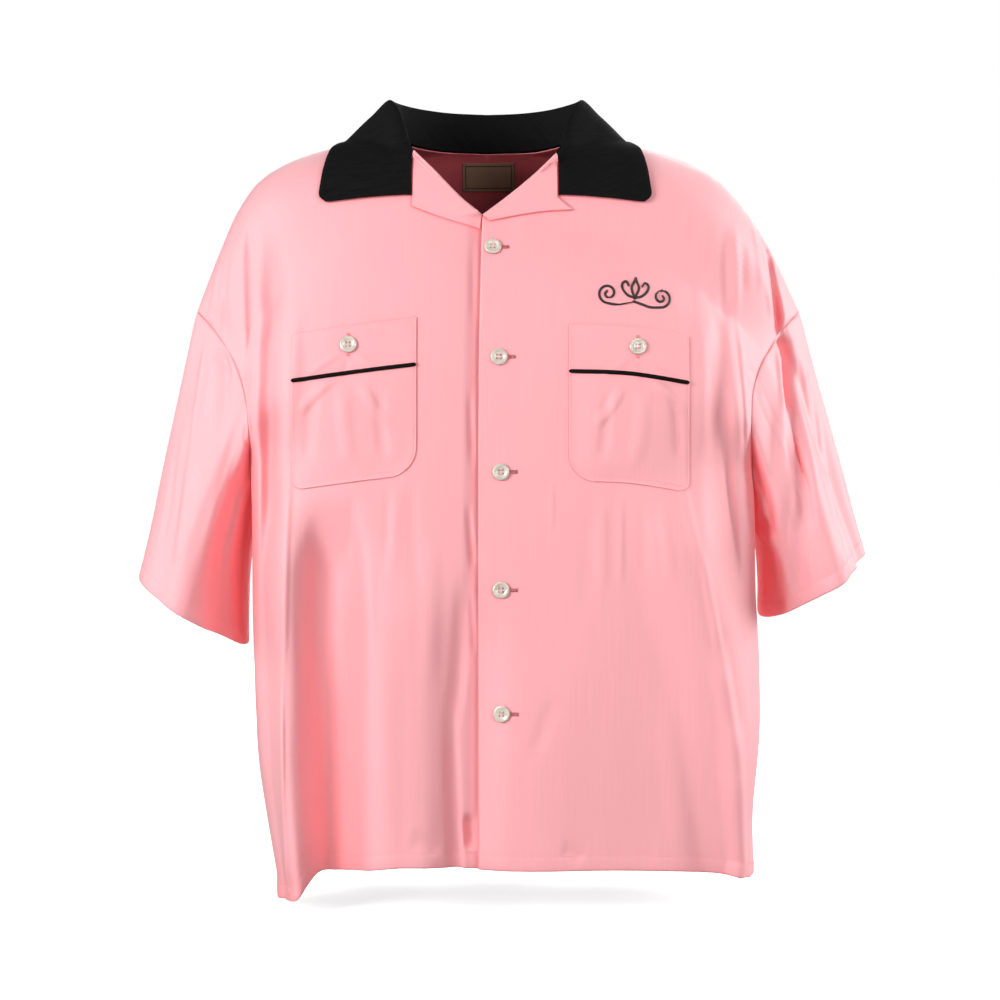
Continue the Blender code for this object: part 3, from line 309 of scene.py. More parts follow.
# Soft folds of the fronts and of the sleeves' front.  A height below 0 is a trough, and a flank
# steeper than 0 the one towards larger x.  Bow and steep are left out where they are 0.
STROKE_COLUMNS = ("x0", "drop0", "x1", "drop1", "half_wide", "high", "bow", "steep")
STRAIGHT = {"bow": 0.0, "steep": 0.0}
RIDGE_FADE = 0.3  # share of its length over which a soft fold rises at each end
STEEPEST = 0.8  # how much narrower a flank of steepness 1 is
FRONT_STROKES = (
    # wearer's right: beside the sleeve, then the long folds down to the hem
    (-0.217, 0.079, -0.2133, 0.233, 0.0083, -0.0048, 0, -0.7),
    (-0.2142, 0.208, -0.2142, 0.324, 0.0093, -0.003, 0, -0.6),
    (-0.2013, 0.088, -0.2031, 0.194, 0.0093, 0.0022),
    (-0.1823, 0.101, -0.1912, 0.21, 0.0109, -0.0016, 0.002),
    (-0.19, 0.11, -0.1922, 0.44, 0.0175, -0.0115, 0.001, 0.1),
    (-0.2031, 0.259, -0.2031, 0.481, 0.0074, 0.0014),
    (-0.1734, 0.308, -0.1793, 0.533, 0.0082, 0.0034, 0.001, 0.35),
    (-0.1793, 0.479, -0.1793, 0.77, 0.0082, 0.0044, 0, 0.5),
    (-0.1656, 0.171, -0.1695, 0.311, 0.0099, 0.0022, 0, 0.2),
    (-0.1462, 0.351, -0.1462, 0.549, 0.0179, -0.0042, 0, -0.2),
    (-0.1425, 0.477, -0.1371, 0.764, 0.0215, -0.0075, 0, -0.2),
    (-0.1156, 0.344, -0.1174, 0.405, 0.0063, -0.0008),
    (-0.1066, 0.343, -0.1013, 0.477, 0.0108, 0.0014),
    (-0.0834, 0.339, -0.0851, 0.405, 0.0063, -0.0007),
    (-0.0744, 0.334, -0.0798, 0.432, 0.0081, 0.0009),
    (-0.0618, 0.325, -0.0601, 0.441, 0.009, -0.0009),
    (-0.0905, 0.441, -0.0887, 0.746, 0.0233, 0.0034),
    (-0.0439, 0.369, -0.0475, 0.531, 0.0125, 0.0014),
    (-0.0135, 0.405, -0.026, 0.567, 0.012, -0.0026, 0.002, 0.3),
    (-0.0125, 0.632, -0.01, 0.668, 0.0095, -0.0055, 0, -0.4),
    (-0.026, 0.522, -0.017, 0.746, 0.0116, -0.0042, -0.002, 0.5),
    (-0.0072, 0.114, -0.0063, 0.199, 0.0054, -0.001, 0, 0.5),
    (-0.0099, 0.251, -0.0072, 0.325, 0.0054, -0.0017, 0, 0.5),
    (-0.0117, 0.351, -0.0063, 0.419, 0.0054, -0.0022, 0, 0.5),
    (-0.0081, 0.432, -0.0063, 0.495, 0.0045, -0.0016, 0, 0.5),
    (-0.0654, 0.653, -0.0368, 0.672, 0.0125, -0.0018, 0.003),
    # wearer's left
    (0.0636, 0.332, 0.0636, 0.383, 0.0027, 0.001),
    (0.1084, 0.343, 0.1093, 0.441, 0.0083, 0.001, 0, 0.2),
    (0.1254, 0.341, 0.1254, 0.434, 0.0054, 0.0012, 0, 0.3),
    (0.1433, 0.347, 0.146, 0.428, 0.0072, -0.001, 0.001),
    (0.1604, 0.344, 0.1711, 0.432, 0.0081, 0.0014),
    (0.0976, 0.351, 0.0941, 0.459, 0.011, -0.0007),
    (0.0672, 0.522, 0.0421, 0.589, 0.011, -0.0011, 0.002),
    (0.1675, 0.531, 0.1879, 0.693, 0.0161, 0.001, -0.003),
    (0.0708, 0.662, 0.0932, 0.676, 0.009, -0.0016, 0.001),
    (0.1792, 0.325, 0.2015, 0.424, 0.0081, 0.002, -0.002, 0.2),
    (0.1976, 0.392, 0.2173, 0.502, 0.0081, 0.0032, 0, 0.45),
    (0.2133, 0.479, 0.2342, 0.597, 0.018, 0.005, 0, 0.65),
    (0.229, 0.54, 0.244, 0.777, 0.027, 0.0105, 0.001, 0.7),
    (0.2213, 0.288, 0.2353, 0.444, 0.01, -0.0034, 0, 0.2),
    (0.2153, 0.16, 0.2193, 0.315, 0.0127, -0.003),
    (0.1986, 0.18, 0.2025, 0.324, 0.011, 0.003, 0, 0.2),
    (0.2372, 0.444, 0.2464, 0.564, 0.0074, -0.0024),
    (0.2222, 0.092, 0.2222, 0.196, 0.0082, -0.0028),
    (0.2334, 0.085, 0.2353, 0.194, 0.0056, 0.0024, 0, 0.4),
    (0.2344, 0.18, 0.2436, 0.324, 0.0065, 0.0026, 0.001, 0.5),
    (0.2409, 0.107, 0.2418, 0.166, 0.0056, -0.0018),
    (0.1976, 0.085, 0.1996, 0.198, 0.0108, 0.001),
    (0.2538, 0.088, 0.2612, 0.166, 0.0074, 0.0026),
    (0.2649, 0.09, 0.277, 0.22, 0.0125, -0.01, 0.001, -0.5),
    (0.034, 0.099, 0.0062, 0.122, 0.0081, -0.0014),
    # sleeve on the wearer's right
    (-0.2364, 0.118, -0.2401, 0.202, 0.0074, -0.003),
    (-0.2475, 0.128, -0.2577, 0.199, 0.0074, 0.0026, 0.001, 0.3),
    (-0.2568, 0.19, -0.2697, 0.324, 0.011, 0.0026, 0.001, 0.2),
    (-0.2679, 0.287, -0.2772, 0.435, 0.015, 0.0024),
    (-0.24, 0.16, -0.2385, 0.3, 0.015, -0.0045, 0.001, -0.15),
    (-0.2494, 0.259, -0.255, 0.407, 0.01, -0.001),
    (-0.2846, 0.296, -0.2975, 0.407, 0.0102, -0.0014),
    (-0.2919, 0.414, -0.2716, 0.405, 0.0037, -0.0009),
    (-0.2605, 0.166, -0.2475, 0.183, 0.0037, -0.0012),
    (-0.2457, 0.203, -0.2309, 0.215, 0.0037, -0.0012),
    # sleeve on the wearer's left
    (0.271, 0.13, 0.287, 0.27, 0.015, -0.01, 0, -0.5),
    (0.283, 0.19, 0.2985, 0.355, 0.016, -0.0095, 0, 0.3),
    (0.2964, 0.27, 0.3001, 0.385, 0.0129, -0.005, 0, 0.4),
    (0.2612, 0.131, 0.2723, 0.19, 0.0056, 0.0022, 0, 0.5),
    (0.2723, 0.18, 0.2825, 0.282, 0.0065, 0.0026, 0, 0.5),
    (0.2742, 0.254, 0.2723, 0.421, 0.0103, 0.0026),
    (0.26, 0.33, 0.264, 0.52, 0.015, 0.005),
    (0.2945, 0.351, 0.2927, 0.444, 0.012, -0.0024),
    (0.2991, 0.208, 0.3139, 0.31, 0.0083, 0.0026),
    (0.3149, 0.254, 0.3232, 0.342, 0.008, 0.0016, 0, 0.4),
    (0.3213, 0.324, 0.3371, 0.435, 0.008, 0.0022, 0, 0.5),
    (0.2547, 0.407, 0.2714, 0.455, 0.0032, 0.0012),
    (0.2409, 0.229, 0.2538, 0.239, 0.0037, -0.0012),
    (0.2436, 0.248, 0.2575, 0.255, 0.0037, -0.001),
)
# The same on the back, where the steep flank is the one towards smaller x
BACK_STROKES = (
    (-0.195, 0.09, -0.19, 0.29, 0.012, -0.0042, 0.003, -0.3),
    (-0.162, 0.13, -0.15, 0.38, 0.014, 0.0032, 0.002, 0.2),
    (-0.125, 0.26, -0.118, 0.52, 0.012, -0.003, 0.002, 0.3),
    (-0.09, 0.12, -0.084, 0.4, 0.013, 0.0026, 0.003),
    (-0.056, 0.3, -0.05, 0.56, 0.011, -0.003, 0.003, 0.3),
    (-0.025, 0.07, -0.032, 0.33, 0.014, 0.0024, -0.003),
    (0.014, 0.22, 0.006, 0.5, 0.012, -0.0034, 0.002, -0.3),
    (0.048, 0.1, 0.054, 0.34, 0.014, 0.0026, 0.003),
    (0.078, 0.38, 0.072, 0.64, 0.012, 0.003, 0.002, 0.3),
    (0.108, 0.26, 0.112, 0.54, 0.012, -0.0032, -0.003, 0.2),
    (0.15, 0.12, 0.147, 0.36, 0.013, 0.0032, 0.002),
    (0.198, 0.09, 0.192, 0.29, 0.012, -0.0044, 0.003, 0.3),
    (0.175, 0.4, 0.185, 0.8, 0.013, 0.0036, 0.002, 0.4),
    (-0.162, 0.44, -0.168, 0.8, 0.013, -0.0036, 0.002, -0.4),
    (-0.235, 0.12, -0.245, 0.3, 0.011, -0.0048, 0.002, -0.4),
    (-0.26, 0.15, -0.275, 0.36, 0.011, 0.0036, 0.002),
    (-0.28, 0.24, -0.295, 0.46, 0.011, -0.004, 0.002, 0.3),
    (-0.245, 0.28, -0.25, 0.5, 0.012, -0.0046, 0.002),
    (0.25, 0.12, 0.262, 0.3, 0.011, -0.0048, 0.002, 0.4),
    (0.278, 0.15, 0.295, 0.36, 0.011, 0.0036, 0.002),
    (0.302, 0.22, 0.32, 0.44, 0.011, -0.004, 0.002, -0.3),
    (0.27, 0.28, 0.276, 0.48, 0.012, -0.0046, 0.002),
)
# Soft drags of a pocket, measured from its button: across towards the far edge and down
POCKET_STROKES = (
    (0.004, 0.006, 0.04, 0.03, 0.005, 0.001, 0.001),
    (-0.004, 0.006, -0.036, 0.03, 0.005, 0.001, 0.001),
    (0, 0.012, 0.004, 0.034, 0.005, -0.0008, 0.001),
    (0.01, 0.03, 0.046, 0.066, 0.008, 0.0018, 0.003, 0.3),
    (-0.012, 0.032, -0.04, 0.074, 0.008, 0.0018, 0.003, 0.3),
    (0.03, 0.032, 0.036, 0.11, 0.009, -0.002, 0.002),
    (0.004, 0.034, -0.004, 0.112, 0.01, 0.0018, 0.003),
    (-0.028, 0.036, -0.034, 0.108, 0.008, -0.0018, 0.002),
)
# Unevenness all over the cloth: wave length across and down, and height
RIPPLES = ((0.075, 0.19, 0.0011), (0.036, 0.1, 0.00055), (0.016, 0.05, 0.00018))

# Scroll above the wearer's left pocket: x, drop and lean of its middle, then the points of its
# bud, leaf and volute, as x and height.  Each is mirrored on the other side.
SCROLL = (0.1385, 0.1655, -0.075)
SCROLL_BUD = ((0.0, -0.0041), (0.0026, 0.0018), (0.0032, 0.0059), (0.0014, 0.0104), (0.0, 0.0136))
SCROLL_LEAF = ((0.0, -0.0041), (0.0061, -0.0024), (0.0109, 0.0026), (0.012, 0.0078), (0.0087, 0.0104),
               (0.0066, 0.0076))
SCROLL_STEM = ((0.0, -0.0077), (0.0071, -0.0097), (0.0153, -0.0116), (0.0236, -0.0109))
VOLUTE_MIDDLE, VOLUTE_RADII, VOLUTE_TURNS = (0.0242, -0.0017), (0.0092, 0.0019), 1.35
SCROLL_LINK = {"Pitch": 0.0019, "Link length": 0.0015, "Link width": 0.0008, "Thread radius": 0.00048}
BAR_TACK = ((0.0745, 0.0868), (0.0832, 0.0862))  # ends of the loop worked on the wearer's left lapel

# Buttonholes: length, and where a hole starts before its button's middle
HOLE_LONG = 0.019
HOLE_START = 0.0052
HOLE_BITE = 0.0016  # half the width of its stitching
HOLE_SLIT = 0.00022  # half the width that the stitching leaves open
HOLE_PITCH = 0.00042
BAR_HALF = HOLE_BITE * 1.05  # half the length of the bar across an end
BAR_PITCH = 0.00035

# Colours that aren't settings, and the painted shade and painted glow of deep folds
PAINTED_FOLD_GLOW = (1.0, 0.17, 0.185)  # painted glow: a weak red emission in deep folds, in place of light through the thin cloth
PAINTED_GLOW_STRENGTH = 0.15
FOLD_PAINT_REACH = 0.07  # how near the other cloth of a fold is, for its painted shade and painted glow
BORDER_BROWN = (0.07, 0.04, 0.02)
LABEL_THREAD = (0.06, 0.035, 0.02)


def shares(count):
    """Even shares from 0 to 1."""
    return np.linspace(0, 1, count)


def through(stations, values, at):
    """Read a smooth curve that passes through the values at the stations."""
    stations, values, at = (np.asarray(given, float) for given in (stations, values, at))
    at = np.clip(at, stations[0], stations[-1])
    slopes = np.gradient(values, stations, axis=0)
    i = np.clip(np.searchsorted(stations, at) - 1, 0, len(stations) - 2)
    step = stations[i + 1] - stations[i]
    t = (at - stations[i]) / step
    if values.ndim > 1:
        t, step = t[..., None], step[..., None]
    rise = values[i] * (2 * t**3 - 3 * t**2 + 1) + values[i + 1] * (3 * t**2 - 2 * t**3)
    return rise + step * (slopes[i] * (t**3 - 2 * t**2 + t) + slopes[i + 1] * (t**3 - t**2))


def along(points, fractions, before=None, after=None):
    """Points at fractions of the length of a smooth curve; before and after steer its ends."""
    knots = np.array([p for p in (before, *points, after) if p is not None], float)
    chord = np.r_[0, np.cumsum(np.linalg.norm(np.diff(knots, axis=0), axis=1))]
    start = chord[0 if before is None else 1]
    end = chord[-1 if after is None else -2]
    dense = through(chord, knots, np.linspace(start, end, 241))
    length = np.r_[0, np.cumsum(np.linalg.norm(np.diff(dense, axis=0), axis=1))]
    wanted = np.asarray(fractions) * length[-1]
    return np.stack([np.interp(wanted, length, dense[:, k]) for k in range(3)], axis=1)


def unit(steps):
    """Each of these steps, at a length of one."""
    return steps / np.maximum(np.linalg.norm(steps, axis=-1, keepdims=True), 1e-12)


def hump(away, reach):
    """A soft hump: 1 at its middle, falling to nothing at its reach."""
    return np.clip(1 - (away / reach) ** 2, 0, None) ** 2


def ease(t):
    """Rise from 0 to 1 with level ends."""
    t = np.clip(t, 0.0, 1.0)
    return t * t * (3 - 2 * t)


def middle_x(drop):
    return through(MIDDLE["drop"], MIDDLE["x"], drop)


def on_side(side, points):
    """World points of an edge that is given by half widths and drops."""
    return [(middle_x(drop) + side * half, y, -drop) for half, y, drop in points]


def at_drop(points):
    return [(x, y, -drop) for x, y, drop in points]


def ring(side, front, places, drops):
    """Points of the body's ring: places from the front edge or centre back to the side seam."""
    size = {name: through(BODY["drop"], BODY[name], drops) for name in BODY if name != "drop"}
    mid = middle_x(drops)
    start_x = FRONT_EDGE[0][0] if front else mid
    start_y = size["front_y"] if front else size["back_y"]
    power = size[("left_power" if side == LEFT else "front_power") if front else "back_power"]
    share = 2 / power[..., None]
    turn = np.linspace(0, pi / 2, 181)
    far_x = (mid + side * size["half_wide"] - start_x)[..., None]
    far_y = (start_y - size["side_y"])[..., None]
    x, y = far_x * np.sin(turn) ** share, far_y * np.cos(turn) ** share
    length = np.cumsum(np.hypot(np.diff(x), np.diff(y)), axis=-1)
    length = np.concatenate([np.zeros_like(length[..., :1]), length], axis=-1)
    wanted = places[..., None] * length[..., -1:]
    k = np.clip(np.sum(length < wanted, axis=-1, keepdims=True) - 1, 0, len(turn) - 2)
    before, after = (np.take_along_axis(length, n, -1) for n in (k, k + 1))
    t = (wanted - before) / (after - before)
    x, y = ((np.take_along_axis(v, k, -1) * (1 - t) + np.take_along_axis(v, k + 1, -1) * t)[..., 0]
            for v in (x, y))
    return np.stack([start_x + x, size["side_y"] + y, -drops], axis=-1)


def scoop_drop(places, corner):
    """Drop of a panel's upper edge: level to the armhole's corner, then round under the arm."""
    w = np.clip((places - corner) / (1 - corner), 0, 1)
    return UNDERARM_DROP - (UNDERARM_DROP - CORNER_DROP) * (1 - np.sqrt(1 - (1 - w) ** 2))


def patch(inner, outer, foot, top, places):
    """Fill the space between two upright edges and two level ones with rows of points."""
    rows = len(inner)
    across = (places**3)[None, :, None]
    up = ease(shares(rows))[:, None, None]
    inner, outer = inner[:, None, :], outer[:, None, :]
    foot, top = foot[None, :, :], top[None, :, :]
    sides = (1 - across) * inner + across * outer
    levels = (1 - up) * foot + up * top
    corners = (1 - up) * ((1 - across) * inner[0] + across * outer[0])
    corners = corners + up * ((1 - across) * inner[-1] + across * outer[-1])
    return sides + levels - corners


def fold_height(place, drop, girth):
    """Height of all the body's folds at a place round the body."""
    total = np.zeros_like(drop)
    for row in BODY_FOLDS:
        fold = dict(zip(FOLD_COLUMNS, row))
        run = np.clip((drop - fold["from_drop"]) / (FOLD_FOOT - fold["from_drop"]), 0, 1)
        centre = fold["top"] + (fold["foot"] - fold["top"]) * run
        away = (place - centre + 2) % 4 - 2
        profile = hump(away * girth, fold["half_wide"])
        rise = ease((drop - fold["from_drop"]) / FOLD_FADE) * ease((fold["to_drop"] - drop) / FOLD_FADE)
        grow = 0.65 + 0.35 * run
        total += fold["high"] * profile * rise * grow
    return total


def turned_ahead(out, place):
    """Directions out of the body, turned straight ahead except near the sides and on the back."""
    turned = out.copy()
    turned[..., 0] *= ease((np.abs(place) - TURN_PLACE) / (1 - TURN_PLACE))
    return turned / (np.linalg.norm(turned, axis=-1, keepdims=True) + 1e-9)


def fold_cloth(grid, place):
    """Push the folds out of a panel: straight ahead, and square to the body at its sides."""
    drop = -grid[..., 2]
    front = np.where(place > 0, QUARTERS["left"], QUARTERS["right"])
    girth = np.where(np.abs(place) > 1, QUARTERS["back"], front)
    height = fold_height(place, drop, girth)
    out = np.stack([grid[..., 0] - middle_x(drop), grid[..., 1]], axis=-1) / np.square(ROUND)
    out = turned_ahead(out, place)
    folded = grid.copy()
    folded[..., :2] += out * height[..., None]
    return folded


# ---------------- cloth surfaces

def lengths(grid, axis):
    """Lengths along a grid's rows or columns, from its first edge."""
    total = np.cumsum(np.linalg.norm(np.diff(grid, axis=axis), axis=2), axis=axis)
    return np.concatenate([np.zeros_like(np.take(total, [0], axis=axis)), total], axis=axis)


def cornered(lower, upper, corner, rows):
    """Points up two curves that meet at a corner, which is the row with that number."""
    below = along(lower, shares(corner + 1))
    above = along(upper, shares(rows - corner))
    return np.concatenate([below, above[1:]])


def reshape(mesh, work):
    """Work on a mesh's faces and edges."""
    shape = bmesh.new()
    shape.from_mesh(mesh)
    work(shape)
    shape.to_mesh(mesh)
    shape.free()


def ringed(grid):
    """A grid that closes on itself, with its first column again at the end."""
    return np.concatenate([grid, grid[:, :1]], axis=1)


def squares(grid, closed=False):
    """Numbers of the four points round each square of a grid."""
    index = np.arange(grid.shape[0] * grid.shape[1]).reshape(grid.shape[:2])
    if closed:
        index = ringed(index)
    near, far = index[:, :-1], index[:, 1:]
    return np.stack([near[:-1], far[:-1], far[1:], near[1:]], axis=-1)


def sheet_mesh(name, grid, cut, flip=False, girth=None, keep=None, split=None):
    """A mesh of a grid of points, with the grain of the cloth as its UV map.

    A grid that closes on itself is given its girth, row by row.  Split is the column after
    which two halves meet: they are welded where they touch and open elsewhere.
    """
    faces = squares(grid, girth is not None)
    grain = cut.reshape(-1, 2)[faces].copy()
    if girth is not None:
        grain[:, -1, 1, 0] += girth[:-1]
        grain[:, -1, 2, 0] += girth[1:]
    if split is not None:
        faces, grain = np.delete(faces, split, axis=1), np.delete(grain, split, axis=1)
    faces, grain = faces.reshape(-1, 4), grain.reshape(-1, 4, 2)
    if keep is not None:
        whole = keep.ravel()[faces].all(axis=1)
        faces, grain = faces[whole], grain[whole]
    if flip:
        faces, grain = faces[:, ::-1], grain[:, ::-1]
    used, faces = np.unique(faces, return_inverse=True)
    faces = faces.reshape(-1, 4)
    mesh = bpy.data.meshes.new(name)
    mesh.vertices.add(len(used))
    mesh.vertices.foreach_set("co", grid.reshape(-1, 3)[used].ravel())
    mesh.loops.add(faces.size)
    mesh.loops.foreach_set("vertex_index", faces.ravel().astype(np.int32))
    mesh.polygons.add(len(faces))
    mesh.polygons.foreach_set("loop_start", np.arange(0, faces.size, 4, dtype=np.int32))
    layer = mesh.uv_layers.new(name="grain")
    mesh.update(calc_edges=True)
    layer.uv.foreach_set("vector", grain.reshape(-1))
    mesh.validate()
    if split is not None:
        reshape(mesh, lambda shape: bmesh.ops.remove_doubles(shape, verts=shape.verts[:], dist=WELD))
    mesh.shade_smooth()
    return mesh


def tree_of(grid, keep=None):
    """A search tree on a grid of points."""
    faces = squares(grid).reshape(-1, 4)
    if keep is not None:
        faces = faces[keep.ravel()[faces].all(axis=1)]
    return BVHTree.FromPolygons(grid.reshape(-1, 3).tolist(), faces.tolist())


def facing(grid, flip):
    """Directions out of a grid."""
    return unit(np.cross(np.gradient(grid, axis=1), np.gradient(grid, axis=0)) * (-1 if flip else 1))


def hit_ahead(tree, x, z, start=-1.0):
    """Where a line towards the back, at x and z, first meets the cloth of a tree."""
    return tree.ray_cast(Vector((x, start, z)), Vector((0, 1, 0)))[0]


def distance_to(points, edge):
    """Distance of each point from the nearest point of an edge."""
    tree = KDTree(len(edge))
    for k, place in enumerate(edge):
        tree.insert(place, k)
    tree.balance()
    flat = [tree.find(place)[2] for place in points.reshape(-1, 3)]
    return np.array(flat).reshape(points.shape[:-1])


def bowed(start, end, bow, count=13):
    """Points in two measures, on a line that bows to one side."""
    t = shares(count)[:, None]
    start, end = np.array(start), np.array(end)
    aside = np.array([end[1] - start[1], start[0] - end[0]])
    aside = aside / (np.linalg.norm(aside) + 1e-9)
    return start + (end - start) * t + aside * bow * 4 * t * (1 - t)


def ridge(points, out, line, half_wide, steep=0.0):
    """Height of a soft ridge along a line, 1 on its crest, falling to nothing at its ends.

    Out is the direction out of the cloth at each point.  A steep flank is narrower: above 0
    the one on the right of a line that runs down, seen from outside.
    """
    flat, total = points.reshape(-1, 3), np.zeros(points.shape[:-1]).ravel()
    low, high = line.min(axis=0) - half_wide, line.max(axis=0) + half_wide
    near = np.nonzero(((flat > low) & (flat < high)).all(axis=1))[0]
    flat, out = flat[near], np.broadcast_to(out, points.shape).reshape(-1, 3)[near]
    best, where, aside = np.full(len(near), 9.0), np.zeros(len(near)), np.zeros(len(near))
    for k in range(len(line) - 1):
        step = line[k + 1] - line[k]
        t = np.clip((flat - line[k]) @ step / (step @ step + 1e-12), 0, 1)
        offset = flat - line[k] - t[:, None] * step
        away = np.linalg.norm(offset, axis=1)
        closer = away < best
        best[closer], where[closer] = away[closer], (k + t[closer]) / (len(line) - 1)
        aside[closer] = (np.cross(step, offset[closer]) * out[closer]).sum(axis=1)
    fade = ease(where / RIDGE_FADE) * ease((1 - where) / RIDGE_FADE)
    flank = half_wide * np.where(aside * steep > 0, 1 - STEEPEST * abs(steep), 1.0)
    total[near] = hump(best, flank) * fade
    return total.reshape(points.shape[:-1])


def flat_strokes(table):
    """Soft folds of a table: their lines on the flat, half widths, steepness and heights."""
    for row in table:
        size = STRAIGHT | dict(zip(STROKE_COLUMNS, row))
        line = bowed((size["x0"], size["drop0"]), (size["x1"], size["drop1"]), size["bow"])
        yield line, size["half_wide"], size["steep"], size["high"]


def laid_strokes(table, trees, front):
    """The same, laid on the cloth that the trees hold, from before or behind."""
    found, ahead = [], Vector((0, 1 if front else -1, 0))
    for flat, *size in flat_strokes(table):
        line = []
        for x, drop in flat:
            start = Vector((x, -ahead.y, -drop))
            hits = [hit for hit in (tree.ray_cast(start, ahead)[0] for tree in trees) if hit]
            if not hits:
                start.y *= 0.1
                hits = [min((tree.find_nearest(start) for tree in trees), key=lambda near: near[3])[0]]
            line.append((x, min(hit.y * ahead.y for hit in hits) * ahead.y, -drop))
        found.append((np.array(line), *size))
    return found


def raised(points, out, strokes):
    """Height of all the soft folds at each point."""
    return sum(tall * ridge(points, out, line, half_wide, steep)
               for line, half_wide, steep, tall in strokes)


def unevenness(points):
    """Small soft waves, longer down the cloth than across it."""
    total = np.zeros(points.shape[:-1]).ravel()
    for seed, (across, down, high) in enumerate(RIPPLES):
        scaled = points.reshape(-1, 3) / (across, across, down) + 7.3 * (seed + 1)
        total += high * np.array([noise.noise(p) for p in scaled.tolist()])
    return total.reshape(points.shape[:-1])


class Panel:
    """Half the front or half the back: a grid of points, hem row first."""

    def __init__(self, side, front):
        self.side, self.front = side, front
        self.flip = side == (RIGHT if front else LEFT)
        columns, scoop, fine = ((FRONT_COLUMNS, FRONT_SCOOP, FRONT_FINE) if front
                                else (BACK_COLUMNS, BACK_SCOOP, BACK_FINE))
        self.scoop = scoop * fine
        places = shares((columns - 1) * fine + 1)
        signed = places * side if front else (2 - places) * side
        hem = through(HEM["place"], HEM["drop"], signed)
        upper = scoop_drop(places, places[self.scoop])
        near_hem = np.array(HEM_ROWS)[:, None]
        top = hem - near_hem[-1]
        rise = shares(ROWS_UP + 1)[1:, None]
        drops = np.concatenate([hem - near_hem, top + (upper - top) * rise])
        self.corner = len(drops) - 1
        below = ring(side, front, np.tile(places, (len(drops), 1)), drops)
        self.base = np.concatenate([below, self.upper_rows(below[-1], places)[1:]])
        self.place = np.tile(signed, (len(self.base), 1))
        self.keep = np.ones(self.base.shape[:2], bool)
        self.keep[self.corner + 1:, self.scoop + 1:] = False
        self.joins = np.concatenate([self.base[:self.corner + 1, -1], self.base[-1, :self.scoop + 1]])
        self.tree = tree_of(self.base, self.keep)
        self.grid = fold_cloth(self.base, self.place)
        self.cut = self.on_flat(below)

    def upper_rows(self, foot, places):
        """Rows from the armhole's corner up to the shoulder seam."""
        side, front, scoop = self.side, self.front, self.scoop
        rows = (ROWS_ABOVE - 1) * ROW_FINE + 1
        upright, neck = (FRONT_EDGE, NECK_FRONT) if front else (CENTRE_BACK, NECK_BACK)
        hole, other = (ARMHOLE_FRONT, ARMHOLE_BACK) if front else (ARMHOLE_BACK, ARMHOLE_FRONT)
        upright = at_drop(upright)
        upright[0] = tuple(foot[0])
        corner = (BREAK_ROW if front else NAPE_ROW) * ROW_FINE
        inner = cornered(upright, upright[-1:] + on_side(side, neck), corner, rows)
        outer = along([foot[scoop]] + on_side(side, hole), shares(rows),
                      foot[scoop] - (0, 0, 0.02), on_side(side, other)[-2])
        inside = places[:scoop + 1] / places[scoop]
        top = along(on_side(side, SHOULDER), inside)
        above = patch(inner, outer, foot[:scoop + 1], top, inside)
        return np.concatenate([above, np.repeat(foot[None, scoop + 1:], rows, axis=0)], axis=1)

    def hole(self, grid):
        """The panel's half of the armhole, from under the arm up to the shoulder."""
        return np.concatenate([grid[self.corner, :self.scoop:-1], grid[self.corner:, self.scoop]])

    def on_flat(self, below):
        """Where each point lies on the flat cloth: across from the middle, and up."""
        reach = lengths(below, 1)
        girth, x = reach[-1], np.abs(below[-1, :, 0] - below[-1, 0, 0])
        straight = self.scoop - self.scoop // 5
        away = np.abs(self.base[self.corner:, :, 0] - below[-1, 0, 0])
        across = np.interp(away, x[:straight], girth[:straight])
        across += np.clip(away - x[straight - 1], 0, None) * 1.25
        across = np.concatenate([reach[:-1], across])
        return np.stack([across * self.side, self.base[..., 2]], axis=-1)

    def shape(self, strokes):
        """Raise the soft folds, sink the seams and turn up the hem."""
        from_join = distance_to(self.base, self.joins)
        from_hole = distance_to(self.base, self.hole(self.base))
        from_seam = np.minimum(from_join, from_hole)
        high = unevenness(self.base) * ease(from_hole / CALM)
        high += raised(self.base, facing(self.base, self.flip), strokes) * (
            HOLE_SHARE + (1 - HOLE_SHARE) * ease(from_hole / CALM))
        high *= ease(from_join / CALM)
        high -= SEAM_ROLL * np.clip(1 - from_seam / SEAM_RUN, 0, 1) ** 2
        high += SEAM_PUCKER * pucker(self.base, from_hole)
        from_hem = self.base[..., 2] - self.base[:1, :, 2]
        high += np.interp(from_hem, *HEM_BAND)
        high += pucker(self.base, from_hem - HEM_STITCH)
        out = turned_ahead(facing(self.base, self.flip), self.place)
        if not self.front:
            out[:, 0] *= (0, 1, 1)
        self.grid = self.grid + out * high[..., None]


def pucker(points, from_stitch):
    """Small waves beside a line of stitches."""
    reach = np.exp(-(from_stitch / PUCKER_REACH) ** 2)
    scaled = (points / PUCKER_WAVE).reshape(-1, 3)
    wave = np.array([noise.noise(p) for p in scaled.tolist()]).reshape(reach.shape)
    return PUCKER_HIGH * reach * wave


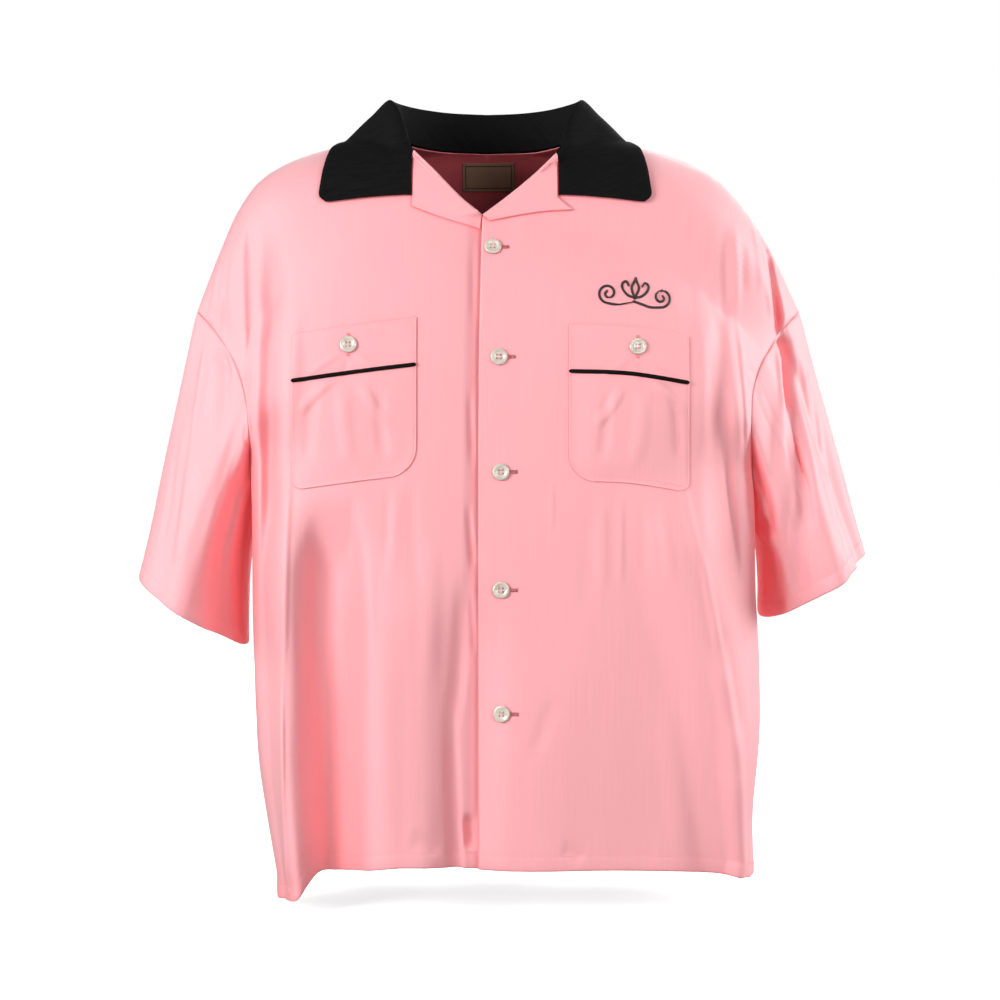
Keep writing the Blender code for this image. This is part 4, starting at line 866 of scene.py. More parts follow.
class Shirt:
    """The shape that all the pieces share: panels, and what finds a place on them."""

    def __init__(self):
        self.panels = {(side, front): Panel(side, front)
                       for side in SIDES for front in (True, False)}
        for front, table in ((True, FRONT_STROKES), (False, BACK_STROKES)):
            halves = [self.panels[side, front] for side in SIDES]
            strokes = laid_strokes(table, [panel.tree for panel in halves], front)
            for panel in halves:
                panel.shape(strokes)
        self.strip = self.under_lap()
        self.trees, self.backs = (
            {side: tree_of(self.panels[side, front].grid, self.panels[side, front].keep) for side in SIDES}
            for front in (True, False))
        self.cuffs, self.lapels, self.pouches, self.bands = {}, {}, {}, {}

    def under_lap(self):
        """Columns of the under front, which run on behind the upper one."""
        upper, under = self.panels[LEFT, True].grid, self.panels[RIGHT, True].grid
        rows = self.panels[RIGHT, True].corner + BREAK_ROW * ROW_FINE + 1
        away = np.abs(under[:rows, :, 0] - under[:rows, :1, 0])
        under[:rows, :, 1] += LAP * ease(1 - away / LAP_EASE) + LAP_DIP * ease(1 - away / DIP_WIDE)
        strip = np.zeros((len(under), LAP_COLUMNS, 3))
        for i, row in enumerate(upper[:rows]):
            x = under[i, 0, 0] + LAP_WIDE * np.linspace(1, 0, LAP_COLUMNS + 1)[:-1]
            y = np.interp(x, row[:, 0], row[:, 1]) + LAP
            y += LAP_DIP * ease(1 - (x - under[i, 0, 0]) / DIP_WIDE)
            strip[i] = np.stack([x, y, np.interp(x, row[:, 0], row[:, 2])], axis=1)
        return strip

    def lapped(self, panel):
        """The under front with its lap: points, places on the flat cloth, and which are kept."""
        rows = np.arange(len(panel.grid)) <= panel.corner + BREAK_ROW * ROW_FINE
        beyond = LAP_WIDE * np.linspace(1, 0, LAP_COLUMNS + 1)[:-1]
        beyond = np.stack(np.broadcast_arrays(beyond[None], self.strip[..., 2]), axis=-1)
        return (np.concatenate([self.strip, panel.grid], axis=1),
                np.concatenate([beyond, panel.cut], axis=1),
                np.concatenate([np.repeat(rows[:, None], LAP_COLUMNS, axis=1), panel.keep], axis=1))

    def y(self, side, x, z):
        """How far forward a front stands at x and z."""
        hit = hit_ahead(self.trees[side], x, z)
        if hit is None:
            hit = self.trees[side].find_nearest(Vector((x, -0.12, z)))[0]
        return hit.y

    def slope(self, side, x, z):
        """Direction out of a front, averaged over the width of a button."""
        r = BUTTON_RADIUS
        across = (self.y(side, x + r, z) - self.y(side, x - r, z)) / (2 * r)
        up = (self.y(side, x, z + r) - self.y(side, x, z - r)) / (2 * r)
        return Vector((across, -1.0, up)).normalized()

    def clear(self, point, lift):
        """Move a point out through the cloth, then away from it until it stands off it."""
        place = Vector(point)
        trees = (*self.trees.values(), *self.backs.values())
        lean = max(-1.0, min(1.0, point[1] / LEVEL_Y))
        out = Vector((0, lean, 1 - abs(lean))).normalized()
        for tree in trees:
            hit = tree.ray_cast(place + out, -out)[0]
            if hit is not None and (hit - place).dot(out) > -STAND_OFF:
                place = hit + out * STAND_OFF
        for _ in range(4):
            for tree in trees:
                near, _, _, distance = tree.find_nearest(place)
                if distance < lift:
                    place = near + (place - near) * (lift / max(distance, 1e-6))
        return np.array(place)


_shirt = []


def the_shirt():
    """The shared shape, made once."""
    if not _shirt:
        _shirt.append(Shirt())
    return _shirt[0]


# ---------------- finishes

def connect(tree, node, sockets):
    """Fill a node's sockets: outputs of other nodes are linked, and values are set on it."""
    for name, value in sockets.items():
        if isinstance(value, bpy.types.NodeSocket):
            tree.links.new(value, node.inputs[name])
        else:
            node.inputs[name].default_value = value
    return node


def add(tree, kind, sockets=None, **settings):
    """A new node with its settings and its sockets."""
    node = tree.nodes.new(kind)
    for name, value in settings.items():
        setattr(node, name, value)
    return connect(tree, node, sockets or {})


def finish(name, wire, *given):
    """The finish of this name; a function wires its shader when it is first asked for."""
    if name not in bpy.data.materials:
        material = bpy.data.materials.new(name)
        material.use_nodes = True
        tree = material.node_tree
        wire(tree, tree.nodes["Principled BSDF"], *given)
    return bpy.data.materials[name]


def grain_map(tree, across=1.0, up=1.0):
    """The cloth's own grain, in metres, scaled for a pattern."""
    grain = add(tree, "ShaderNodeUVMap", uv_map="grain").outputs["UV"]
    return add(tree, "ShaderNodeMapping", {"Vector": grain, "Scale": (across, up, 1.0)}).outputs["Vector"]


def object_map(tree, scale, rotation=(0.0, 0.0, 0.0)):
    """Places in the shirt's frame, scaled and turned for a pattern."""
    place = add(tree, "ShaderNodeTexCoord").outputs["Object"]
    sockets = {"Vector": place, "Scale": scale, "Rotation": rotation}
    return add(tree, "ShaderNodeMapping", sockets).outputs["Vector"]


def noise_of(tree, vector, detail):
    sockets = {"Vector": vector, "Scale": 1.0, "Detail": detail, "Roughness": 0.5}
    return add(tree, "ShaderNodeTexNoise", sockets).outputs["Fac"]


def spread(tree, value, low, high, to_low=0.0, to_high=1.0):
    """Stretch a range of a value over another range."""
    names = ("Value", "From Min", "From Max", "To Min", "To Max")
    sockets = dict(zip(names, (value, low, high, to_low, to_high)))
    return add(tree, "ShaderNodeMapRange", sockets).outputs["Result"]


def maths(tree, operation, first, second=0.0):
    return add(tree, "ShaderNodeMath", {0: first, 1: second}, operation=operation).outputs["Value"]


def blend(tree, factor, first, second):
    """Blend two colours; either may be the output of a node."""
    node = add(tree, "ShaderNodeMix", {"Factor": factor}, data_type="RGBA")
    ends = [socket for socket in node.inputs if socket.type == "RGBA"]
    for socket, value in zip(ends, (first, second)):
        if isinstance(value, tuple):
            socket.default_value = (*value, 1.0)
        else:
            tree.links.new(value, socket)
    return next(socket for socket in node.outputs if socket.type == "RGBA")


def tinted(colour, *levels):
    """A colour with its red, green and blue each at a level, or all at one."""
    return tuple(min(1.0, part * level) for part, level in zip(colour, levels * (3 // len(levels))))


def weave(tree, pitch):
    """Height of a plain weave: threads across and threads down, one over the other."""
    turn = tau / pitch
    parts = add(tree, "ShaderNodeSeparateXYZ", {"Vector": grain_map(tree, turn, turn)}).outputs
    return maths(tree, "MULTIPLY", maths(tree, "SINE", parts["X"]), maths(tree, "SINE", parts["Y"]))


def bumps(tree, *layers):
    """Chain bumps, each a height, a strength and a distance, and give the normal."""
    last = {}
    for height, strength, distance in layers:
        sockets = {"Height": height, "Strength": strength, "Distance": distance}
        last = {"Normal": add(tree, "ShaderNodeBump", sockets | last).outputs["Normal"]}
    return last["Normal"]


def shirt_cloth(tree, shader, look, inside):
    """Smooth rayon cloth with a faint upright slub and a soft gloss, with painted deeper red shade and a
    weak painted glow in its deep folds; or its inside, darker all over as painted shade and without the
    glow.
    """
    # the inside takes its darker colour, which is painted shade
    pink = tuple(look.inside if inside else look.shirt)
    slub = noise_of(tree, grain_map(tree, 900.0, 14.0), 3.0)
    weft = noise_of(tree, grain_map(tree, 30.0, 1100.0), 2.0)
    cloud = noise_of(tree, grain_map(tree, 26.0, 9.0), 2.0)
    shade = blend(tree, spread(tree, slub, 0.3, 0.7), tinted(pink, 0.965), tinted(pink, 1.03))
    shade = blend(tree, spread(tree, weft, 0.35, 0.65, 0.0, 0.25), shade, tinted(pink, 0.97))
    shade = blend(tree, spread(tree, cloud, 0.3, 0.7, 0.0, 0.3), shade, tinted(pink, 0.98))
    # painted shade: where other cloth is near, as in a deep fold, the colour turns a darker, deeper red
    painted_fold_openness = add(tree, "ShaderNodeAmbientOcclusion", {"Distance": FOLD_PAINT_REACH}, samples=6).outputs["AO"]
    shade = blend(tree, spread(tree, painted_fold_openness, 0.3, 0.88), tinted(pink, 1.0, 0.62, 0.62), shade)
    # painted glow: a weak red emission where other cloth is near, as in a deep fold
    if not inside:
        connect(tree, shader, {
            "Emission Strength": spread(tree, painted_fold_openness, 0.1, 0.85, PAINTED_GLOW_STRENGTH, 0.0),
            "Emission Color": (*PAINTED_FOLD_GLOW, 1.0)})
    connect(tree, shader, {
        "Base Color": shade,
        "Roughness": spread(tree, slub, 0.3, 0.7, look.gloss - 0.04, look.gloss + 0.06),
        "Normal": bumps(tree, (weave(tree, 0.00045), 0.1, 0.00005), (slub, 0.22, 0.00012)),
        "Specular IOR Level": 0.1 if inside else 0.4,
        "Sheen Weight": 0.0 if inside else 0.45,
        "Sheen Roughness": 0.45,
        "Sheen Tint": (1.0, 0.86, 0.87, 1.0)})


def collar_cloth(tree, shader, look):
    """Matt black cloth with a fine rib."""
    black = tuple(look.collar)
    slub = noise_of(tree, grain_map(tree, 900.0, 30.0), 3.0)
    lint = noise_of(tree, grain_map(tree, 160.0, 160.0), 4.0)
    shade = blend(tree, spread(tree, slub, 0.35, 0.65), tinted(black, 0.75), tinted(black, 1.35))
    connect(tree, shader, {
        "Base Color": blend(tree, spread(tree, lint, 0.55, 0.8, 0.0, 0.5), shade, tinted(black, 2.0)),
        "Normal": bumps(tree, (weave(tree, 0.0007), 0.25, 0.00012), (slub, 0.3, 0.0002)),
        "Roughness": 0.85, "Specular IOR Level": 0.06, "Sheen Weight": 0.0, "Sheen Roughness": 0.5})


def sewing_thread(tree, shader, colour):
    """Sewing thread: two plies that shine a little."""
    plies = object_map(tree, (2600.0, 2600.0, 2600.0), (0.0, 0.7, 0.6))
    ply = add(tree, "ShaderNodeTexWave", {"Vector": plies, "Scale": 1.0}).outputs["Fac"]
    connect(tree, shader, {
        "Base Color": blend(tree, ply, tinted(colour, 0.82), tinted(colour, 1.06)),
        "Normal": bumps(tree, (ply, 0.4, 0.00008)),
        "Roughness": 0.46, "Specular IOR Level": 0.5, "Sheen Weight": 0.1})


def pearl(tree, shader, look):
    """Polished shell: milky, with clouded bands and a clear gloss."""
    shell = tuple(look.button)
    cloud = noise_of(tree, object_map(tree, (160.0, 160.0, 420.0)), 3.0)
    connect(tree, shader, {
        "Base Color": blend(tree, spread(tree, cloud, 0.32, 0.68),
                            tinted(shell, 0.9, 0.84, 0.8), tinted(shell, 1.1)),
        "Roughness": spread(tree, cloud, 0.3, 0.7, 0.16, 0.28),
        "Specular IOR Level": 0.6, "Coat Weight": 0.6, "Coat Roughness": 0.08,
        "Subsurface Weight": 0.15, "Subsurface Radius": (0.6, 0.5, 0.4), "Subsurface Scale": 0.002})


def label_weave(tree, shader, look):
    """Woven label: a tan ground with a darker border and a fine rib."""
    tan = tuple(look.label)
    parts = add(tree, "ShaderNodeSeparateXYZ", {"Vector": grain_map(tree)}).outputs
    side, end = (maths(tree, "SUBTRACT", maths(tree, "ABSOLUTE", parts[axis]), size / 2 - LABEL_BORDER)
                 for axis, size in (("X", LABEL_WIDE), ("Y", LABEL_TALL)))
    line = maths(tree, "ABSOLUTE", maths(tree, "MAXIMUM", side, end))
    rib = noise_of(tree, grain_map(tree, 500.0, 2600.0), 2.0)
    ground = blend(tree, spread(tree, rib, 0.3, 0.7), tinted(tan, 0.78), tinted(tan, 1.16))
    connect(tree, shader, {
        "Base Color": blend(tree, spread(tree, line, 0.0004, 0.0007, 1.0, 0.0), ground, BORDER_BROWN),
        "Normal": bumps(tree, (weave(tree, 0.0006), 0.4, 0.00012), (rib, 0.3, 0.0001)),
        "Roughness": 0.62, "Specular IOR Level": 0.35, "Sheen Weight": 0.1})


# ---------------- node trees for sewing

def sewing_tree(stitch, sizes):
    """A tree that turns lines into a stitch, with named sizes and a finish going in."""
    if stitch.__name__ in bpy.data.node_groups:
        return bpy.data.node_groups[stitch.__name__]
    tree = bpy.data.node_groups.new(stitch.__name__, "GeometryNodeTree")
    new = tree.interface.new_socket
    new("Lines", in_out="INPUT", socket_type="NodeSocketGeometry")
    for label, value in sizes.items():
        socket = new(label, in_out="INPUT", socket_type="NodeSocketFloat")
        socket.subtype, socket.default_value = "DISTANCE", value
    new("Finish", in_out="INPUT", socket_type="NodeSocketMaterial")
    new("Geometry", in_out="OUTPUT", socket_type="NodeSocketGeometry")
    given = add(tree, "NodeGroupInput").outputs
    curve = add(tree, "GeometryNodeMeshToCurve", {"Mesh": given["Lines"]}).outputs["Curve"]
    real = add(tree, "GeometryNodeRealizeInstances", {"Geometry": stitch(tree, given, curve)})
    sockets = {"Geometry": real.outputs["Geometry"], "Material": given["Finish"]}
    coloured = add(tree, "GeometryNodeSetMaterial", sockets)
    add(tree, "NodeGroupOutput", {"Geometry": coloured.outputs["Geometry"]})
    return tree


def repeat_along(tree, curve, pitch, shape, scale):
    """Place a shape at every pitch of the curve, turned along it."""
    even = add(tree, "GeometryNodeResampleCurve", {"Curve": curve, "Length": pitch}, mode="LENGTH")
    ahead = add(tree, "GeometryNodeInputTangent").outputs["Tangent"]
    turn = add(tree, "FunctionNodeAlignRotationToVector", {"Vector": ahead}, axis="X")
    sockets = {"Points": even.outputs["Curve"], "Instance": shape, "Scale": scale,
               "Rotation": turn.outputs["Rotation"]}
    return add(tree, "GeometryNodeInstanceOnPoints", sockets).outputs["Instances"]


def round_thread(tree, path, radius):
    """A round thread along a curve."""
    profile = add(tree, "GeometryNodeCurvePrimitiveCircle", {"Resolution": 5, "Radius": radius})
    sockets = {"Curve": path, "Profile Curve": profile.outputs["Curve"], "Fill Caps": True}
    return add(tree, "GeometryNodeCurveToMesh", sockets).outputs["Mesh"]


def running_stitch(tree, given, curve):
    """Separate stitches along lines."""
    ball = add(tree, "GeometryNodeMeshUVSphere", {"Segments": 6, "Rings": 5, "Radius": 1.0})
    thick = given["Thread radius"]
    size = add(tree, "ShaderNodeCombineXYZ", {"X": given["Half length"], "Y": thick, "Z": thick})
    return repeat_along(tree, curve, given["Pitch"], ball.outputs["Mesh"], size.outputs["Vector"])


def laid_thread(tree, given, curve):
    """A round thread laid along lines."""
    return round_thread(tree, curve, given["Thread radius"])


def chain_stitch(tree, given, curve):
    """Links of thread along lines, as in chain-stitch embroidery."""
    circle = add(tree, "GeometryNodeCurvePrimitiveCircle", {"Resolution": 9, "Radius": 1.0})
    sockets = {"X": given["Link length"], "Y": given["Link width"], "Z": 1.0}
    size = add(tree, "ShaderNodeCombineXYZ", sockets)
    sockets = {"Geometry": circle.outputs["Curve"], "Scale": size.outputs["Vector"],
               "Rotation": (pi / 2, 0.0, 0.0)}
    link = add(tree, "GeometryNodeTransform", sockets).outputs["Geometry"]
    thread = round_thread(tree, link, given["Thread radius"])
    return repeat_along(tree, curve, given["Pitch"], thread, (1.0, 1.0, 1.0))


def add_object(name, data):
    """Put an object in the scene."""
    thing = bpy.data.objects.new(name, data)
    bpy.context.scene.collection.objects.link(thing)
    return thing


def plain_mesh(thing):
    """The mesh that an object's modifiers leave.  The object goes."""
    graph = bpy.context.evaluated_depsgraph_get()
    mesh = bpy.data.meshes.new_from_object(thing.evaluated_get(graph), depsgraph=graph)
    bpy.data.objects.remove(thing, do_unlink=True)
    return mesh


def sew(name, stitch, lines, thread, colour, sizes):
    """Work a stitch over lines of points, and keep the result as one plain piece."""
    material = finish(thread, sewing_thread, tuple(colour))
    points = np.concatenate(lines)
    ends = np.cumsum([len(line) for line in lines])
    edges = [(i, i + 1) for i in range(len(points) - 1) if i + 1 not in ends]
    mesh = bpy.data.meshes.new(name + "_lines")
    mesh.from_pydata(points.tolist(), edges, [])
    guide = add_object(name + "_lines", mesh)
    run = guide.modifiers.new("sewing", "NODES")
    run.node_group = sewing_tree(stitch, sizes)
    sockets = {item.name: item.identifier for item in run.node_group.interface.items_tree
               if item.item_type == "SOCKET" and item.in_out == "INPUT"}
    for label, value in {"Finish": material, **sizes}.items():
        run[sockets[label]] = value
    result = plain_mesh(guide)
    result.name = name
    result.shade_smooth()
    place_piece(name, result, material)


# ---------------- pieces

def settings(context):
    """The colours, the sizes and the shirt's shape."""
    return context.scene.shirt_look, context.scene.shirt_sizes, the_shirt()


def side_word(side):
    return "right" if side == RIGHT else "left"


def place_piece(name, mesh, material, slot=None, stands_for=()):
    """Put a finished mesh in the scene, on the shirt's one body."""
    piece = add_object(name, mesh)
    mesh.materials.clear()
    mesh.materials.append(material)
    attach(piece, "root")
    if stands_for:
        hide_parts(*stands_for)
    return piece


def give_wall(piece, thickness, bevel, inside):
    """Give a sheet its wall on the inside, and round its rim."""
    wall = piece.modifiers.new("wall", "SOLIDIFY")
    wall.thickness = thickness
    wall.offset = -1.0
    wall.use_rim = True
    if inside:
        piece.data.materials.append(inside)
        wall.material_offset = 1
    if bevel:
        round_rim = piece.modifiers.new("rim", "BEVEL")
        round_rim.width = bevel
        round_rim.segments = 2
        round_rim.limit_method = "ANGLE"
        round_rim.angle_limit = radians(50)


def lay_sheet(grid, keep, held, rests_on):
    """Work out a piece's width, length and area as a flat sheet; nothing keeps them."""
    kept = np.ones(grid.shape[:2], bool) if keep is None else keep
    a, b, c, d = grid[:-1, :-1], grid[:-1, 1:], grid[1:, 1:], grid[1:, :-1]
    across, up = kept[:, 1:] & kept[:, :-1], kept[1:] & kept[:-1]
    area = np.linalg.norm(np.cross(c - a, d - b), axis=2) / 2
    area = float(area[across[:-1] & across[1:]].sum())
    wide = float((np.linalg.norm(np.diff(grid, axis=1), axis=2) * across).sum(axis=1).max())
    long = float((np.linalg.norm(np.diff(grid, axis=0), axis=2) * up).sum(axis=0).max())
    wide, long = round(wide, 3), round(long, 3)
    area = round(min(max(area, LEAST_AREA * wide * long), wide * long), 4)
    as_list(rests_on)


def cut_cloth(node, grid, cut, material, thickness, held, rests_on, name=None, slot="shirt_cloth",
              bevel=0.0, inside=None, **form):
    """Make one piece of cloth from its grid, in place of the shirt's solid of that name."""
    name = name or "cloth_" + node
    piece = place_piece(name, sheet_mesh(name, grid, cut, **form), material, slot, (node,))
    give_wall(piece, thickness, bevel, inside)
    lay_sheet(ringed(grid) if "girth" in form else grid, form.get("keep"), held, rests_on)


def pink_cloth(look):
    return finish("shirt_cloth_fine", shirt_cloth, look, False)


def hung_cloth(node, grid, cut, look, sizes, rests_on, **form):
    """Make a piece of the shirt that hangs, with its inside darkened as painted shade."""
    cut_cloth(node, grid, cut, pink_cloth(look), sizes.cloth, "hung", rests_on,
              inside=finish("shirt_cloth_inside", shirt_cloth, look, True), **form)


class SHIRT_OT_body(bpy.types.Operator):
    """Make the two fronts and the back, with their folds, seams and turned-up hem"""
    bl_idname = "shirt.body"
    bl_label = "Fronts and back"

    def execute(self, context):
        look, sizes, shirt = settings(context)
        for side in SIDES:
            panel = shirt.panels[side, True]
            grid, cut, keep = shirt.lapped(panel) if side == RIGHT else (panel.grid, panel.cut, panel.keep)
            hung_cloth("front_" + side_word(side), grid, cut, look, sizes, ["collar"],
                       flip=panel.flip, keep=keep)
        right, left = shirt.panels[RIGHT, False], shirt.panels[LEFT, False]
        grid, cut, keep = (np.concatenate([a[:, ::-1], b], axis=1) for a, b in
                           ((right.grid, left.grid), (right.cut, left.cut), (right.keep, left.keep)))
        hung_cloth("back", grid, cut, look, sizes, ["collar"],
                   flip=True, keep=keep, split=right.grid.shape[1] - 1)
        return {"FINISHED"}


def cuff_ring(size, place):
    """The cuff's edge at each place round it, from under the arm."""
    outer, inner = (np.array([size[end][0], size["y"], -size[end][1]]) for end in ("outer", "inner"))
    turn = tau * place
    deep = np.array([0.0, -size["half_deep"], -size["dip"]])
    middle = (outer + inner) / 2
    return middle + np.cos(turn)[:, None] * (inner - middle) + np.sin(turn)[:, None] * deep


def sleeve_fold_height(table, place, share):
    """Height of a sleeve's folds at places round it and shares of its length."""
    high = np.zeros(share.shape)
    for row in table:
        fold = dict(zip(SLEEVE_FOLD_COLUMNS, row))
        where = fold["top"] + (fold["foot"] - fold["top"]) * share
        away = np.abs((place - where + 0.5) % 1 - 0.5) * SLEEVE_GIRTH
        high += fold["high"] * hump(away, fold["half_wide"]) * ease((share - fold["start"]) / SLEEVE_FADE)
    return high


def sleeve_shape(shirt, side):
    """Rings of a sleeve from the armhole to the cuff's edge, their grain and their girth."""
    front, back = (shirt.panels[side, f] for f in (True, False))
    ahead, behind = front.hole(front.grid), back.hole(back.grid)
    hole = np.concatenate([ahead, behind[-2:0:-1]])
    past = (BACK_COLUMNS - 1 - BACK_SCOOP) * BACK_FINE
    up = (ROWS_ABOVE - 1) * ROW_FINE
    corner = 1 - 0.5 * (BACK_COLUMNS - 1 - BACK_SCOOP) / (BACK_COLUMNS + ROWS_ABOVE - 2 - BACK_SCOOP)
    place = np.r_[np.linspace(0, 0.5, len(ahead)), np.linspace(0.5, corner, up + 1)[1:],
                  np.linspace(corner, 1, past + 1)[1:-1]]
    cuff = cuff_ring(SLEEVES[side], place)
    length = np.linalg.norm(cuff - hole, axis=1)
    from_cuff = np.array(HEM_ROWS[::-1])[:, None]
    last = 1 - from_cuff[:1] / length
    share = np.concatenate([shares(SLEEVE_LENGTHS)[:-1, None] * last, 1 - from_cuff / length])
    base = hole + (cuff - hole) * share[..., None]
    out = unit(base - base.mean(axis=1, keepdims=True))
    grid = base + out * sleeve_fold_height(SLEEVE_FOLDS[side], place, share)[..., None]
    under = np.clip(np.cos(tau * place), 0, None) * np.sin(pi * np.clip(share, 0, 1) ** 0.6)
    grid[..., 0] += side * UNDERARM_EASE * under
    reach = lengths(ringed(grid), 1)
    from_hole = share * length
    cut = np.stack([reach[:, :-1] - reach[:, -1:] / 2, -from_hole], axis=-1)
    tree = [tree_of(ringed(grid))]
    strokes = laid_strokes(FRONT_STROKES, tree, True) + laid_strokes(BACK_STROKES, tree, False)
    fine = (unevenness(grid) + raised(grid, out, strokes)) * ease(from_hole / CALM)
    fine -= SEAM_ROLL * np.clip(1 - from_hole / SEAM_RUN, 0, 1) ** 2
    fine += np.interp(length - from_hole, *HEM_BAND)
    fine += pucker(grid, length - from_hole - HEM_STITCH) + SEAM_PUCKER * pucker(grid, from_hole)
    wrapped = np.concatenate([grid[:, -2:], grid, grid[:, :2]], axis=1)
    normal = facing(wrapped, False)[:, 2:-2]
    normal *= np.sign((normal * out).sum())
    normal[:1] = out[:1]
    return grid + normal * fine[..., None], cut, reach[:, -1]


class SHIRT_OT_sleeves(bpy.types.Operator):
    """Make the two sleeves, set into the armholes and hemmed at the cuffs"""
    bl_idname = "shirt.sleeves"
    bl_label = "Sleeves"

    def execute(self, context):
        look, sizes, shirt = settings(context)
        for side in SIDES:
            grid, cut, girth = sleeve_shape(shirt, side)
            shirt.cuffs[side] = grid
            hung_cloth("sleeve_" + side_word(side), grid, cut, look, sizes,
                       ["cloth_front_" + side_word(side), "cloth_back"], flip=side == LEFT, girth=girth)
        return {"FINISHED"}


def collar_seam(side, steps):
    """The neck seam at each station: along the neck, then down the gorge."""
    neck = along(on_side(side, NECK_BACK_FROM_CENTRE), shares(41))
    rest = along(on_side(side, NECK_FRONT[::-1]), shares(41))
    neck = np.concatenate([neck, rest[1:]])
    inward = np.array([NECK_X, 0.0, 0.0]) - neck
    inward[:, 2] = 0
    neck = neck + unit(inward) * NECK_INSET + np.array([0, 0, NECK_RISE])
    gorge = np.array([(NECK_X + side * x, y, z) for x, y, z in GORGE])
    round_neck = along(neck, np.clip(steps / GORGE_STATION, 0, 1))
    down = along(gorge, np.clip((steps - GORGE_STATION) / (len(COLLAR) - 1 - GORGE_STATION), 0, 1))
    return np.where((steps < GORGE_STATION - 0.01)[:, None], round_neck, down)


def collar_row(shirt, lift, seam, roll, edge, swell, free):
    """One station of the collar: up the stand, over the roll and down the fall."""
    out = np.cross(edge - roll, np.cross((0, 0, 1.0), edge - roll))
    out *= swell / np.linalg.norm(out)
    stand, fall = np.linalg.norm(roll - seam), np.linalg.norm(edge - roll)
    knots = [seam, roll, roll + (edge - roll) * 0.4 + out, edge]
    if stand > 0.012:
        knots.insert(1, seam + (roll - seam) * 0.55)
    turn = stand / (stand + fall)
    up, down = (STAND_COLUMNS - 1) * STAND_FINE, FALL_COLUMNS * FALL_FINE
    row = along(knots, np.r_[np.linspace(0, turn, up + 1), np.linspace(turn, 1, down + 1)[1:]])
    for k in range(free, len(row)):
        row[k] = shirt.clear(row[k], lift)
    return row


def smoothed(table, columns, steps):
    """The columns of a table, read at steps along its rows."""
    table = np.array(table)
    return {name: through(np.arange(len(table)), table[:, k], steps) for k, name in enumerate(columns)}


def collar_shape(shirt, lift):
    """Points of the collar from the wearer's right end, round the back, to the left end."""
    steps = np.linspace(0, len(COLLAR) - 1, (COLLAR_STATIONS - 1) * STATION_FINE + 1)
    size = smoothed(COLLAR, COLLAR_COLUMNS, steps)
    halves = {}
    for side in SIDES:
        rolls, edges = (np.stack([NECK_X + side * size[p + "_x"], size[p + "_y"], size[p + "_z"]], 1)
                        for p in ("roll", "edge"))
        over = ease((steps - GORGE_STATION + OVER_RUN) / OVER_RUN) * (steps < GORGE_STATION - 0.01)
        seams = collar_seam(side, steps)
        seams += (rolls + (-side * ROLL_NEAR, 0, 0) - seams) * over[:, None]
        free = [STAND_FINE if step < GORGE_STATION - OVER_RUN else 0 for step in steps]
        halves[side] = [collar_row(shirt, lift, *row)
                        for row in zip(seams, rolls, edges, size["swell"], free)]
    return np.array(halves[RIGHT][:0:-1] + halves[LEFT])


class SHIRT_OT_collar(bpy.types.Operator):
    """Make the black camp collar: a low stand, a soft roll and a flat fall"""
    bl_idname = "shirt.collar"
    bl_label = "Collar"

    def execute(self, context):
        look, sizes, shirt = settings(context)
        grid = collar_shape(shirt, sizes.collar_lift)
        for _ in range(2):
            grid[1:-1, 1:-1] = (grid[1:-1, 1:-1] * 2 + grid[:-2, 1:-1] + grid[2:, 1:-1]) / 4
        down, across = lengths(grid, 0), lengths(grid, 1)
        from_edge = np.minimum(across[:, -1:] - across, np.minimum(down, down[-1:] - down))
        fall = np.arange(grid.shape[1]) > (STAND_COLUMNS - 1) * STAND_FINE
        high = np.interp(from_edge, *COLLAR_EDGE) * fall
        high += 0.35 * unevenness(grid) * ease(from_edge / RIM_CALM)
        cut_cloth("collar", grid + facing(grid, True) * high[..., None], np.stack([down, across], axis=-1),
                  finish("collar_cloth_fine", collar_cloth, look), sizes.collar, "folded",
                  ["cloth_back", "cloth_front_left", "cloth_front_right"],
                  slot="collar_cloth", bevel=0.0005, flip=True)
        return {"FINISHED"}


def lapel_shape(shirt, side, lift, roll):
    """Points of a lapel: round its rolled edge, then across its face to the free edge."""
    table = LAPELS[side]
    size = smoothed(table, LAPEL_COLUMNS, np.linspace(0, len(table) - 1, LAPEL_ROWS))
    grid = np.zeros((LAPEL_ROWS, LAPEL_ACROSS, 3))
    for i in range(LAPEL_ROWS):
        for j, t in enumerate(shares(LAPEL_ACROSS)):
            x, drop = (np.interp(t, LAPEL_STOPS, [size[p + end][i] for p in ("roll", "mid", "free")])
                       for end in ("_x", "_drop"))
            off = lift * (1 - 0.45 * ease((t - 0.35) / 0.65))
            grid[i, j] = (x, shirt.y(side, x, -drop) - off, -drop)
    soften(grid, 12)
    inner = unit(grid[:, 0] - grid[:, 3])
    turns = [grid[:, 0] + roll * (inner * sin(a) + np.array([0, 1 - cos(a), 0]))
             for a in np.linspace(pi, 0, 9)[:-1]]
    return np.concatenate([np.array(turns).transpose(1, 0, 2), grid], axis=1)


class SHIRT_OT_lapels(bpy.types.Operator):
    """Turn out the tops of the fronts as lapels"""
    bl_idname = "shirt.lapels"
    bl_label = "Lapels"

    def execute(self, context):
        look, sizes, shirt = settings(context)
        for side in SIDES:
            grid = lapel_shape(shirt, side, sizes.lapel_lift, sizes.lapel_roll)
            down, across = lengths(grid, 0), lengths(grid, 1)
            from_edge = np.minimum(across[:, -1:] - across, 0.02 + np.minimum(down, down[-1:] - down))
            high = np.interp(from_edge, *LAPEL_EDGE)
            high += 0.4 * unevenness(grid) * ease(from_edge / RIM_CALM)
            grid = grid + facing(grid, side == LEFT) * high[..., None]
            shirt.lapels[side] = grid
            cut_cloth("lapel_" + side_word(side), grid, np.stack([across, down], axis=-1),
                      pink_cloth(look), sizes.cloth * 1.4, "folded", ["cloth_front_" + side_word(side)],
                      bevel=0.0003, flip=side == LEFT)
        return {"FINISHED"}


